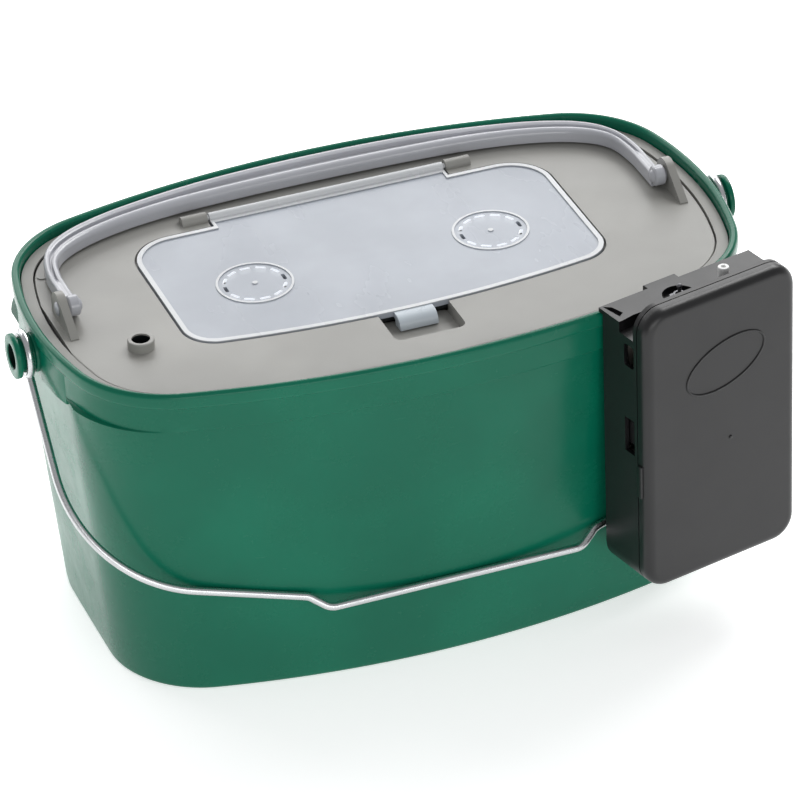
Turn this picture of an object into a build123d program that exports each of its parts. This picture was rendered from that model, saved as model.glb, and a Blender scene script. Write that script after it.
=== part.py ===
from build123d import *
from math import atan2, cos, radians, sin, sqrt
import os

os.makedirs("parts", exist_ok=True)

# ---------------------------------------------------------------- driving sizes, mm
# Bowed outlines: half length, half width, long-side radius, end radius, corner radius
RIM = (175.0, 106.4, 506.0, 202.0, 56.0)
FOOT = (156.25, 93.4, 485.0, 6000.0, 51.0)
HEAD = (170.4, 103.8, 504.0, 6000.0, 55.0)
RIM_TOP = 175.9
LIP_BOTTOM = 168.0
HEAD_Z = 167.0
LIP_WIDTH = 4.2
WALL = 2.6
FLOOR = 3.0
BAND_Z = 155.0
BAND_STEP = 1.3
END_LEDGE_X = 167.8
END_LEDGE_Z = 169.2

AXLE_Z = 161.0
STUB_R = 10.0
STUB_X = 175.8
NECK_R = 8.5
NECK_X = 182.6
DISC_R = 11.2
DISC_X = 185.4
AXLE_BORE_R = 6.3

WIRE_R = 2.0
EYE_WIRE_R = 2.12
EYE_CLEARANCE = 0.08
EYE_X = 179.0
BAIL_ANGLE = 49.6

SEAT_GAP = 0.3
LINER_RIM = 0.6
LINER_WALL = 2.0
SEAT_Z = 167.0
LINER_TOP = 170.8
RING_WIDTH = 5.6
SEAT_WIDTH = 4.0
BASKET_FLOOR_Z = 8.0
BASKET_TAPER = 10.5

LID_GAP = 0.7
LID_TOP = 170.2
PRY_X = 162.2
HOSE_BORE_R = 4.5
HOSE_X = -130.3
HOSE_Y = -31.7

HATCH_HALF = 107.5
HATCH_REAR = 60.5
HATCH_TAB_REAR = 66.8
HATCH_TAB_HALF = 61.4
HATCH_FRONT = 50.5
HATCH_FRONT_R = 455.0
HATCH_GAP = 1.2
HATCH_Z = 167.7
HATCH_TOP = 170.0
HATCH_AXIS_Y = 69.0
HATCH_AXIS_Z = 171.0
KNUCKLE_R = 2.4
HATCH_PIN_R = 1.3
HATCH_PIN_CLEARANCE = 0.08

PIVOT_Y = 6.5
PIVOT_Z = 177.5
PIVOT_R = 3.0
PIVOT_CLEARANCE = 0.08
EAR_X = 157.0
EAR_THICK = 4.0
HANDLE_BASE = 171.2
HANDLE_TOP = 178.5
RIDGE = 2.4

PUMP_YAW = 13.0
PUMP_BACK = 116.9
PUMP_STEP = 141.0
PUMP_SEAM = 143.6
PUMP_FRONT = 151.7
PUMP_LEFT = 51.4
PUMP_RIGHT = 139.9
PUMP_BASE = 35.5
PUMP_TOP = 190.0
DECK_TOP = 178.5
DECK_UNDER = 176.3
PUMP_WALL = 2.2
PUMP_CORNER = 12.5
COVER_GAP = 0.3
HOOK_MID = 89.2
HOOK_WIDTH = 18.0
HOOK_REACH = 109.5
HOOK_TIP_Z = 174.0
HOOK_ROOM = 0.7

CELL_R = 13.1
CELL_LENGTH = 46.0
CELL_PITCH = 32.0
CELL_MID = 95.6
CELL_N = 133.3
CELL_BASE = 45.0

MOTOR_R = 12.0
MOTOR_START = 57.5
MOTOR_LENGTH = 27.0
MOTOR_Z = 118.0
MOTOR_N = 133.0
SHAFT_R = 1.2
CAM_R = 6.0
CRANK = 1.6
CRANK_PIN_R = 1.5
HEAD_S = 100.0
HEAD_R = 12.0
DIAPHRAGM_Z = 144.0
NIPPLE_S = 112.6
NIPPLE_N = 130.1
NIPPLE_R = 2.75
NIPPLE_TOP = 187.0
STEM_R = 2.4
FIT = 0.05
SWITCH_S = 89.0
SWITCH_N = 127.0


# ---------------------------------------------------------------- outline helpers
def bowed(size, z, inset=0.0):
    """Horizontal face whose four sides bow outward between round corners."""
    a, b, r_long, r_end, rc = (value - inset for value in size)
    ax, ay, bx, by = 0.0, b - r_long, a - r_end, 0.0
    ra, rb = r_long - rc, r_end - rc
    span = sqrt((bx - ax) ** 2 + (by - ay) ** 2)
    along = (ra**2 - rb**2 + span**2) / (2 * span)
    off = sqrt(ra**2 - along**2)
    ux, uy = (bx - ax) / span, (by - ay) / span
    candidates = [(ax + along * ux + k * off * uy, ay + along * uy - k * off * ux) for k in (1, -1)]
    px, py = max(candidates, key=lambda p: p[0] + p[1])
    t1 = (ax + (px - ax) * r_long / ra, ay + (py - ay) * r_long / ra)
    t2 = (bx + (px - bx) * r_end / rb, by + (py - by) * r_end / rb)
    mid = (atan2(py - ay, px - ax) + atan2(py - by, px - bx)) / 2
    tm = (px + rc * cos(mid), py + rc * sin(mid))
    with BuildSketch(Plane.XY.offset(z)) as face:
        with BuildLine():
            for sx, sy in ((1, 1), (-1, 1), (-1, -1), (1, -1)):
                ThreePointArc((sx * t1[0], sy * t1[1]), (sx * tm[0], sy * tm[1]), (sx * t2[0], sy * t2[1]))
            ThreePointArc((-t1[0], t1[1]), (0, b), (t1[0], t1[1]))
            ThreePointArc((-t1[0], -t1[1]), (0, -b), (t1[0], -t1[1]))
            ThreePointArc((t2[0], -t2[1]), (a, 0), (t2[0], t2[1]))
            ThreePointArc((-t2[0], -t2[1]), (-a, 0), (-t2[0], t2[1]))
        make_face()
    return face.sketch


def shrunk(size, inset):
    """Outline sizes set in parallel by one distance."""
    return tuple(value - inset for value in size)


def part_way(low, high, share):
    """Outline sizes between two outlines."""
    return tuple(p + (q - p) * share for p, q in zip(low, high))


def slab(face, height, half_length=None):
    """Prism standing on a face, cut square at the two ends when a half length is given."""
    with BuildPart() as prism:
        extrude(face, amount=height)
        if half_length:
            with BuildSketch(Plane.XY.offset(-5)):
                Rectangle(2 * half_length, 400)
            extrude(amount=400, mode=Mode.INTERSECT)
    return prism.part


def bucket_wall(z):
    """Outside outline of the tapering bucket wall at one height."""
    return part_way(FOOT, HEAD, z / HEAD_Z)


MOUTH = shrunk(RIM, LIP_WIDTH)

# ---------------------------------------------------------------- green bucket
with BuildPart() as bucket:
    loft(sections=[bowed(FOOT, 0), bowed(HEAD, HEAD_Z)], ruled=True)
    fillet(bucket.faces().sort_by(Axis.Z)[0].edges(), radius=2.5)
    add(slab(bowed(RIM, BAND_Z, BAND_STEP), LIP_BOTTOM - BAND_Z + 0.5, HEAD[0]))
    with BuildPart(mode=Mode.PRIVATE) as lip:
        extrude(bowed(RIM, LIP_BOTTOM), amount=RIM_TOP - LIP_BOTTOM)
        fillet(lip.faces().sort_by(Axis.Z)[-1].edges(), radius=2.0)
        fillet(lip.faces().sort_by(Axis.Z)[0].edges(), radius=1.5)
    add(lip.part)
    for side in (1, -1):
        # thickened root under the lip that carries the axle stub
        with BuildSketch(Plane.XY.offset(151)):
            with BuildLine():
                Polyline(
                    (side * 166, -36), (side * 170.2, -36), (side * 172.6, -28), (side * 174.4, -12),
                    (side * 174.4, 12), (side * 172.6, 28), (side * 170.2, 36), (side * 166, 36), close=True,
                )
            make_face()
        extrude(amount=LIP_BOTTOM - 151 + 2)
        with BuildSketch(Plane.YZ.offset(side * 166)):
            with Locations((0, AXLE_Z)):
                Circle(STUB_R)
        extrude(amount=side * (STUB_X - 166))
        with BuildSketch(Plane.YZ.offset(side * STUB_X)):
            with Locations((0, AXLE_Z)):
                Circle(NECK_R)
        extrude(amount=side * (NECK_X - STUB_X))
        with BuildSketch(Plane.YZ.offset(side * NECK_X)):
            with Locations((0, AXLE_Z)):
                Circle(DISC_R)
        extrude(amount=side * (DISC_X - NECK_X))
    # inside: tapering room, long-side ledges, end ledges and mouth
    loft(
        sections=[bowed(bucket_wall(FLOOR), FLOOR, WALL), bowed(bucket_wall(BAND_Z), BAND_Z, WALL)],
        ruled=True, mode=Mode.SUBTRACT,
    )
    add(slab(bowed(MOUTH, BAND_Z - 0.01), END_LEDGE_Z - BAND_Z + 0.02, END_LEDGE_X), mode=Mode.SUBTRACT)
    add(slab(bowed(MOUTH, END_LEDGE_Z), 20), mode=Mode.SUBTRACT)
    for side in (1, -1):
        with BuildSketch(Plane.YZ.offset(side * DISC_X)):
            with Locations((0, AXLE_Z)):
                Circle(AXLE_BORE_R)
        extrude(amount=-side * 11.8, mode=Mode.SUBTRACT)
    # shallow groove under the floor
    with BuildPart(mode=Mode.PRIVATE) as groove:
        extrude(bowed(FOOT, 0, 14), amount=1)
        extrude(bowed(FOOT, 0, 22), amount=1, mode=Mode.SUBTRACT)
    add(groove.part, mode=Mode.SUBTRACT)
bucket.part.label = "bucket"
export_step(bucket.part, "parts/bucket.step")

# ---------------------------------------------------------------- wire bail
BAIL_PLANE = Plane(
    origin=(0, 0, AXLE_Z), x_dir=(1, 0, 0), z_dir=(0, sin(radians(BAIL_ANGLE)), -cos(radians(BAIL_ANGLE)))
)
EYE_R = NECK_R + EYE_CLEARANCE + EYE_WIRE_R
BAIL_GRIP_R = 152.0
BEND_R = 72.0
BEND_TURN = 74.0
STEP_R = 9.0
with BuildLine() as flat_bail:
    Line((EYE_X, EYE_R), (EYE_X, 60.0))
    bend = JernArc((EYE_X, 60.0), (0, 1), BEND_R, BEND_TURN)
    run = Line(bend @ 1, (bend @ 1) + (bend % 1) * 53.0)
    rise = JernArc(run @ 1, run % 1, STEP_R, -24)
    ramp_length = (BAIL_GRIP_R - (rise @ 1).Y - STEP_R * (1 - cos(radians(40)))) / (rise % 1).Y
    ramp = Line(rise @ 1, (rise @ 1) + (rise % 1) * ramp_length)
    crest = JernArc(ramp @ 1, ramp % 1, STEP_R, 40)
    Line(crest @ 1, (0, BAIL_GRIP_R))
    mirror(about=Plane.YZ)
bail_path = BAIL_PLANE.location * flat_bail.wire()
with BuildPart() as wire_bail:
    with BuildSketch(Plane(origin=bail_path @ 0, z_dir=bail_path % 0)):
        Circle(WIRE_R)
    sweep(path=bail_path)
    for side in (1, -1):
        with BuildSketch(Plane.XY.offset(AXLE_Z)):
            with Locations((side * EYE_X, EYE_R)):
                Circle(EYE_WIRE_R)
        revolve(axis=Axis((0, 0, AXLE_Z), (1, 0, 0)), revolution_arc=360)
wire_bail.part.label = "wire_bail"
export_step(wire_bail.part, "parts/wire_bail.step")

# ---------------------------------------------------------------- pump planes
YAW_C, YAW_S = cos(radians(PUMP_YAW)), sin(radians(PUMP_YAW))


def front(n):
    """Plane across the pump at distance n, local (s, z)."""
    return Plane(origin=(YAW_S * n, -YAW_C * n, 0), x_dir=(YAW_C, YAW_S, 0), z_dir=(YAW_S, -YAW_C, 0))


def deck(z):
    """Level plane in the pump's own directions, local (s, -n)."""
    return Plane(origin=(0, 0, z), x_dir=(YAW_C, YAW_S, 0), z_dir=(0, 0, 1))


def spot(s, n, z):
    """Level plane whose origin is at one point of the pump."""
    return Plane(
        origin=(YAW_C * s + YAW_S * n, YAW_S * s - YAW_C * n, z), x_dir=(YAW_C, YAW_S, 0), z_dir=(0, 0, 1)
    )


def flank(s):
    """Plane along the pump's side at distance s, local (n, z), facing the left."""
    return Plane(
        origin=(YAW_C * s, YAW_S * s, 0), x_dir=(YAW_S, -YAW_C, 0), z_dir=(-YAW_C, -YAW_S, 0)
    )


PUMP_MID = (PUMP_LEFT + PUMP_RIGHT) / 2
PUMP_WIDTH = PUMP_RIGHT - PUMP_LEFT

# ---------------------------------------------------------------- liner
COLLAR = shrunk(MOUTH, 0.8)
SEAT = shrunk(MOUTH, LINER_RIM + RING_WIDTH)
BASKET = shrunk(SEAT, SEAT_WIDTH - LINER_WALL)
LINER_END_X = END_LEDGE_X - 0.6
with BuildPart() as inner_bucket:
    # collar skirt that drops between the ledges
    add(slab(bowed(COLLAR, BAND_Z + SEAT_GAP), END_LEDGE_Z - BAND_Z, LINER_END_X))
    add(slab(bowed(shrunk(COLLAR, LINER_WALL), BAND_Z), SEAT_Z - 2.2 - BAND_Z, LINER_END_X - LINER_WALL),
        mode=Mode.SUBTRACT)
    add(slab(bowed(shrunk(MOUTH, LINER_RIM), END_LEDGE_Z + SEAT_GAP), LINER_TOP - END_LEDGE_Z - SEAT_GAP))
    # tapering basket hung from the seat
    loft(
        sections=[bowed(shrunk(BASKET, BASKET_TAPER), BASKET_FLOOR_Z), bowed(BASKET, SEAT_Z - 2.2)],
        ruled=True,
    )
    loft(
        sections=[
            bowed(shrunk(BASKET, BASKET_TAPER + LINER_WALL), BASKET_FLOOR_Z + LINER_WALL),
            bowed(shrunk(BASKET, LINER_WALL), SEAT_Z - 2.2),
        ],
        ruled=True, mode=Mode.SUBTRACT,
    )
    add(slab(bowed(shrunk(BASKET, LINER_WALL), SEAT_Z - 2.21), 20), mode=Mode.SUBTRACT)
    add(slab(bowed(SEAT, SEAT_Z), 20), mode=Mode.SUBTRACT)
    # drain slots: two rows in the long sides, two rows in the ends, four rows in the floor
    with BuildSketch(Plane.XZ.offset(-150)):
        with Locations((0, 118), (0, 68)):
            with GridLocations(28, 1, 9, 1):
                SlotOverall(34, 3.2, rotation=90)
    extrude(amount=300, mode=Mode.SUBTRACT)
    with BuildSketch(Plane.YZ.offset(-200)):
        with Locations((0, 118), (0, 68)):
            with GridLocations(28, 1, 4, 1):
                SlotOverall(34, 3.2, rotation=90)
    extrude(amount=400, mode=Mode.SUBTRACT)
    with BuildSketch(Plane.XY.offset(BASKET_FLOOR_Z - 2)):
        with GridLocations(44, 36, 6, 4):
            SlotOverall(30, 3.2)
    extrude(amount=6, mode=Mode.SUBTRACT)
    # flat on the collar behind the pump, so the liner lifts out past the pump hook
    with BuildSketch(deck(BAND_Z)):
        with Locations((HOOK_MID, -(HOOK_REACH - HOOK_ROOM) - 30)):
            Rectangle(200, 60)
    extrude(amount=30, mode=Mode.SUBTRACT)
inner_bucket.part.label = "inner_bucket"
export_step(inner_bucket.part, "parts/inner_bucket.step")

# ---------------------------------------------------------------- lid panel
LID = shrunk(SEAT, LID_GAP)
LID_UNDER = SEAT_Z + SEAT_GAP


def hatch_outline(z, grow=0.0, tab_grow=0.0):
    """Hatch shape: bowed front with round corners, straight rear and a wide hinge tab."""
    h, rear, front_y = HATCH_HALF + grow, HATCH_REAR + grow, HATCH_FRONT + grow
    sag = HATCH_FRONT_R - sqrt(HATCH_FRONT_R**2 - 88.0**2)
    with BuildSketch(Plane.XY.offset(z)) as face:
        with BuildLine():
            ThreePointArc((-h, -front_y + sag + 2), (0, -front_y), (h, -front_y + sag + 2))
            Line((h, -front_y + sag + 2), (h, rear))
            Line((h, rear), (-h, rear))
            Line((-h, rear), (-h, -front_y + sag + 2))
        make_face()
        fillet(face.vertices().group_by(Axis.Y)[0], radius=17 + grow)
        fillet(face.vertices().group_by(Axis.Y)[-1], radius=22 + grow)
        with Locations((0, (HATCH_TAB_REAR + tab_grow) / 2)):
            Rectangle(2 * (HATCH_TAB_HALF + grow), HATCH_TAB_REAR + tab_grow)
    return face.sketch


with BuildPart() as lid_panel:
    extrude(bowed(LID, LID_UNDER), amount=LID_TOP - LID_UNDER)
    fillet(lid_panel.faces().sort_by(Axis.Z)[-1].edges(), radius=0.8)
    with BuildSketch(Plane.XY.offset(LID_UNDER - 5)):
        with Locations((-PRY_X - 20, 0)):
            Rectangle(40, 150)
    extrude(amount=20, mode=Mode.SUBTRACT)
    # frame under the plate on which the hatch rests
    with BuildPart(mode=Mode.PRIVATE) as frame:
        extrude(hatch_outline(LID_UNDER - 2.6, 3.2, 8.0), amount=2.7)
        extrude(hatch_outline(LID_UNDER - 2.6, -3.8, -6.0), amount=2.7, mode=Mode.SUBTRACT)
    add(frame.part)
    extrude(hatch_outline(HATCH_Z - SEAT_GAP, HATCH_GAP, 6.0), amount=10, mode=Mode.SUBTRACT)
    # finger well in front of the hatch latch
    with BuildSketch(Plane.XY.offset(162.0)):
        with Locations((0, -63)):
            RectangleRounded(40, 30, 5)
    extrude(amount=LID_UNDER - 162.0 + 0.1)
    with BuildSketch(Plane.XY.offset(163.6)):
        with Locations((0, -61)):
            RectangleRounded(36, 30, 4)
    extrude(amount=20, mode=Mode.SUBTRACT)
    with BuildSketch(Plane.XY.offset(LID_UNDER - 2.6)):
        with Locations((0, -47.6)):
            Rectangle(36, 2.4)
    extrude(amount=2.6)
    # hose collar
    with BuildSketch(Plane.XY.offset(LID_UNDER)):
        with Locations((HOSE_X, HOSE_Y)):
            Circle(6.5)
    extrude(amount=LID_TOP - LID_UNDER + 4.9)
    fillet(lid_panel.faces().sort_by(Axis.Z)[-1].edges(), radius=0.8)
    with BuildSketch(Plane.XY.offset(LID_UNDER - 1)):
        with Locations((HOSE_X, HOSE_Y)):
            Circle(HOSE_BORE_R)
    extrude(amount=20, mode=Mode.SUBTRACT)
    for side in (1, -1):
        # ear that carries the handle pivot
        with BuildSketch(Plane.YZ.offset(side * EAR_X - EAR_THICK / 2)):
            with BuildLine():
                Line((-13, LID_TOP - 1), (16.2, LID_TOP - 1))
                Line((16.2, LID_TOP - 1), (16.2, PIVOT_Z + 1))
                ThreePointArc((16.2, PIVOT_Z + 1), (9.5, 184.5), (2.0, 182.0))
                Line((2.0, 182.0), (-13, LID_TOP + 0.6))
                Line((-13, LID_TOP + 0.6), (-13, LID_TOP - 1))
            make_face()
        extrude(amount=EAR_THICK)
        with BuildSketch(Plane.YZ.offset(side * EAR_X - EAR_THICK)):
            with Locations((PIVOT_Y, PIVOT_Z)):
                Circle(PIVOT_R + PIVOT_CLEARANCE)
        extrude(amount=2 * EAR_THICK, mode=Mode.SUBTRACT)
        # hinge barrel for the hatch
        with BuildSketch(Plane.YZ.offset(side * (HATCH_TAB_HALF + HATCH_GAP + 0.1))):
            with Locations((HATCH_AXIS_Y, HATCH_AXIS_Z)):
                Circle(3.2)
            with Locations((HATCH_AXIS_Y, LID_TOP - 0.9)):
                Rectangle(6.4, 2.6)
        extrude(amount=side * 13)
        with BuildSketch(Plane.YZ.offset(side * (HATCH_TAB_HALF - 1))):
            with Locations((HATCH_AXIS_Y, HATCH_AXIS_Z)):
                Circle(HATCH_PIN_R + HATCH_PIN_CLEARANCE)
        extrude(amount=side * 12, mode=Mode.SUBTRACT)
    # small round moulding mark at the left rear
    with BuildSketch(Plane.XY.offset(LID_TOP - 0.5)):
        with Locations((-153.5, 49.5)):
            Circle(2.5)
    extrude(amount=1.0)
lid_panel.part.label = "lid_panel"
export_step(lid_panel.part, "parts/lid_panel.step")

# ---------------------------------------------------------------- clear hatch
VENT_R = 16.0
with BuildPart() as hatch:
    extrude(hatch_outline(HATCH_Z), amount=HATCH_TOP - HATCH_Z)
    with BuildPart(mode=Mode.PRIVATE) as bead:
        extrude(hatch_outline(HATCH_TOP - 0.1), amount=0.8)
        extrude(hatch_outline(HATCH_TOP - 0.1, -2.4, -12.0), amount=0.8, mode=Mode.SUBTRACT)
        with BuildSketch(Plane.XY.offset(HATCH_TOP - 0.2)):
            with Locations((0, HATCH_TAB_REAR - 8)):
                Rectangle(2 * HATCH_TAB_HALF - 3, 11)
        extrude(amount=2, mode=Mode.SUBTRACT)
    add(bead.part)
    # knuckle along the tab and its end pegs
    with BuildSketch(Plane.YZ.offset(-HATCH_TAB_HALF)):
        with Locations((HATCH_AXIS_Y, HATCH_AXIS_Z)):
            Circle(KNUCKLE_R)
        with Locations((HATCH_AXIS_Y - 2.4, HATCH_Z + 1.15)):
            Rectangle(4.0, HATCH_TOP - HATCH_Z)
    extrude(amount=2 * HATCH_TAB_HALF)
    with BuildSketch(Plane.YZ.offset(-HATCH_TAB_HALF - 9)):
        with Locations((HATCH_AXIS_Y, HATCH_AXIS_Z)):
            Circle(HATCH_PIN_R)
    extrude(amount=2 * HATCH_TAB_HALF + 18)
    # vent rosettes
    for side in (1, -1):
        with BuildSketch(Plane.XY.offset(HATCH_TOP - 0.3)):
            with Locations((side * 61.0, 2.4)):
                Circle(19.0)
                Circle(17.8, mode=Mode.SUBTRACT)
        extrude(amount=0.8)
        with BuildSketch(Plane.XY.offset(HATCH_Z - 1)):
            with Locations((side * 61.0, 2.4)):
                with PolarLocations(VENT_R - 1.2, 12):
                    SlotOverall(5.4, 1.8, rotation=90)
        extrude(amount=6, mode=Mode.SUBTRACT)
        with BuildSketch(Plane.XY.offset(HATCH_TOP - 0.3)):
            with Locations((side * 61.0, 2.4)):
                Circle(1.4)
        extrude(amount=0.8)
    # latch tongue with a finger lip and a spring leg
    with BuildSketch(Plane.XY.offset(HATCH_Z)):
        with Locations((0, -57)):
            Rectangle(20, 15.4)
    extrude(amount=HATCH_TOP - HATCH_Z)
    with BuildSketch(Plane.YZ.offset(-8)):
        with BuildLine():
            Polyline((-55.0, 169.0), (-55.0, 165.0), (-53.4, 165.0), (-53.4, 169.0), close=True)
        make_face()
    extrude(amount=16)
    with BuildSketch(Plane.XY.offset(HATCH_TOP - 0.1)):
        with Locations((0, -63.4)):
            Rectangle(20, 2.0)
    extrude(amount=1.3)
hatch.part.label = "hatch"
export_step(hatch.part, "parts/hatch.step")

# ---------------------------------------------------------------- lid handle
OUTER = ((0, 97), (56, 94.5), (100, 87), (126, 78.5), (141, 69), (149.5, 57), (153.6, 42), (154.2, 22))
INNER = ((0, 80.4), (58, 79.0), (92, 75.5), (118, 69), (136, 60), (144.6, 50), (147.8, 34), (148.2, 22))


def toward(start, goal, distance):
    """Point moved from start toward goal by a distance."""
    dx, dy = goal[0] - start[0], goal[1] - start[1]
    length = sqrt(dx**2 + dy**2)
    return (start[0] + dx * distance / length, start[1] + dy * distance / length)


def handle_band(z):
    """Plan outline of the folded handle between its outer and inner edge curves."""
    with BuildSketch(Plane.XY.offset(z)) as face:
        with BuildLine():
            Spline(*[(-x, y) for x, y in OUTER[:0:-1]], *OUTER, tangents=[(0, 1), (0, -1)])
            Spline(*INNER[::-1], *[(-x, y) for x, y in INNER[1:]], tangents=[(0, 1), (0, -1)])
            for side in (1, -1):
                Polyline(
                    (side * OUTER[-1][0], OUTER[-1][1]), (side * OUTER[-1][0], PIVOT_Y),
                    (side * INNER[-1][0], PIVOT_Y), (side * INNER[-1][0], INNER[-1][1]),
                )
        make_face()
    return face.sketch


def grip_groove(z):
    """Plan outline of the groove that runs between the two ridges of the grip."""
    outer = [toward(p, q, RIDGE) for p, q in zip(OUTER, INNER)][:6]
    inner = [toward(q, p, RIDGE) for p, q in zip(OUTER, INNER)][:6]
    with BuildSketch(Plane.XY.offset(z)) as face:
        with BuildLine():
            Spline(*[(-x, y) for x, y in outer[:0:-1]], *outer)
            Spline(*inner[::-1], *[(-x, y) for x, y in inner[1:]])
            for side in (1, -1):
                Line((side * outer[-1][0], outer[-1][1]), (side * inner[-1][0], inner[-1][1]))
        make_face()
    return face.sketch


with BuildPart() as lid_handle:
    extrude(handle_band(HANDLE_BASE), amount=HANDLE_TOP - HANDLE_BASE)
    extrude(grip_groove(HANDLE_TOP - 3.0), amount=5, mode=Mode.SUBTRACT)
    for side in (1, -1):
        with BuildSketch(Plane.YZ.offset(side * INNER[-1][0])):
            with Locations((PIVOT_Y, PIVOT_Z)):
                Circle(6.0)
        extrude(amount=side * (OUTER[-1][0] - INNER[-1][0]))
        with BuildSketch(Plane.YZ.offset(side * 150)):
            with Locations((PIVOT_Y, PIVOT_Z)):
                Circle(PIVOT_R)
        extrude(amount=side * 9.8)
lid_handle.part.label = "lid_handle"
export_step(lid_handle.part, "parts/lid_handle.step")

# ---------------------------------------------------------------- pump housing
def tall_outline(n, grow=0.0):
    """Full-height pump outline with four round corners."""
    with BuildSketch(front(n)) as face:
        with Locations((PUMP_MID, (PUMP_BASE + PUMP_TOP) / 2)):
            RectangleRounded(PUMP_WIDTH + 2 * grow, PUMP_TOP - PUMP_BASE + 2 * grow, PUMP_CORNER + grow)
    return face.sketch


def short_outline(n, grow=0.0):
    """Rear pump outline, cut square under the deck."""
    with BuildSketch(front(n)) as face:
        with Locations((PUMP_MID, (PUMP_BASE + DECK_TOP) / 2 + 20)):
            RectangleRounded(PUMP_WIDTH + 2 * grow, DECK_TOP - PUMP_BASE + 40 + 2 * grow, PUMP_CORNER + grow)
        with Locations((PUMP_MID, (PUMP_BASE + DECK_TOP) / 2)):
            Rectangle(PUMP_WIDTH + 9, DECK_TOP - PUMP_BASE + 2 * grow, mode=Mode.INTERSECT)
    return face.sketch


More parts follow.
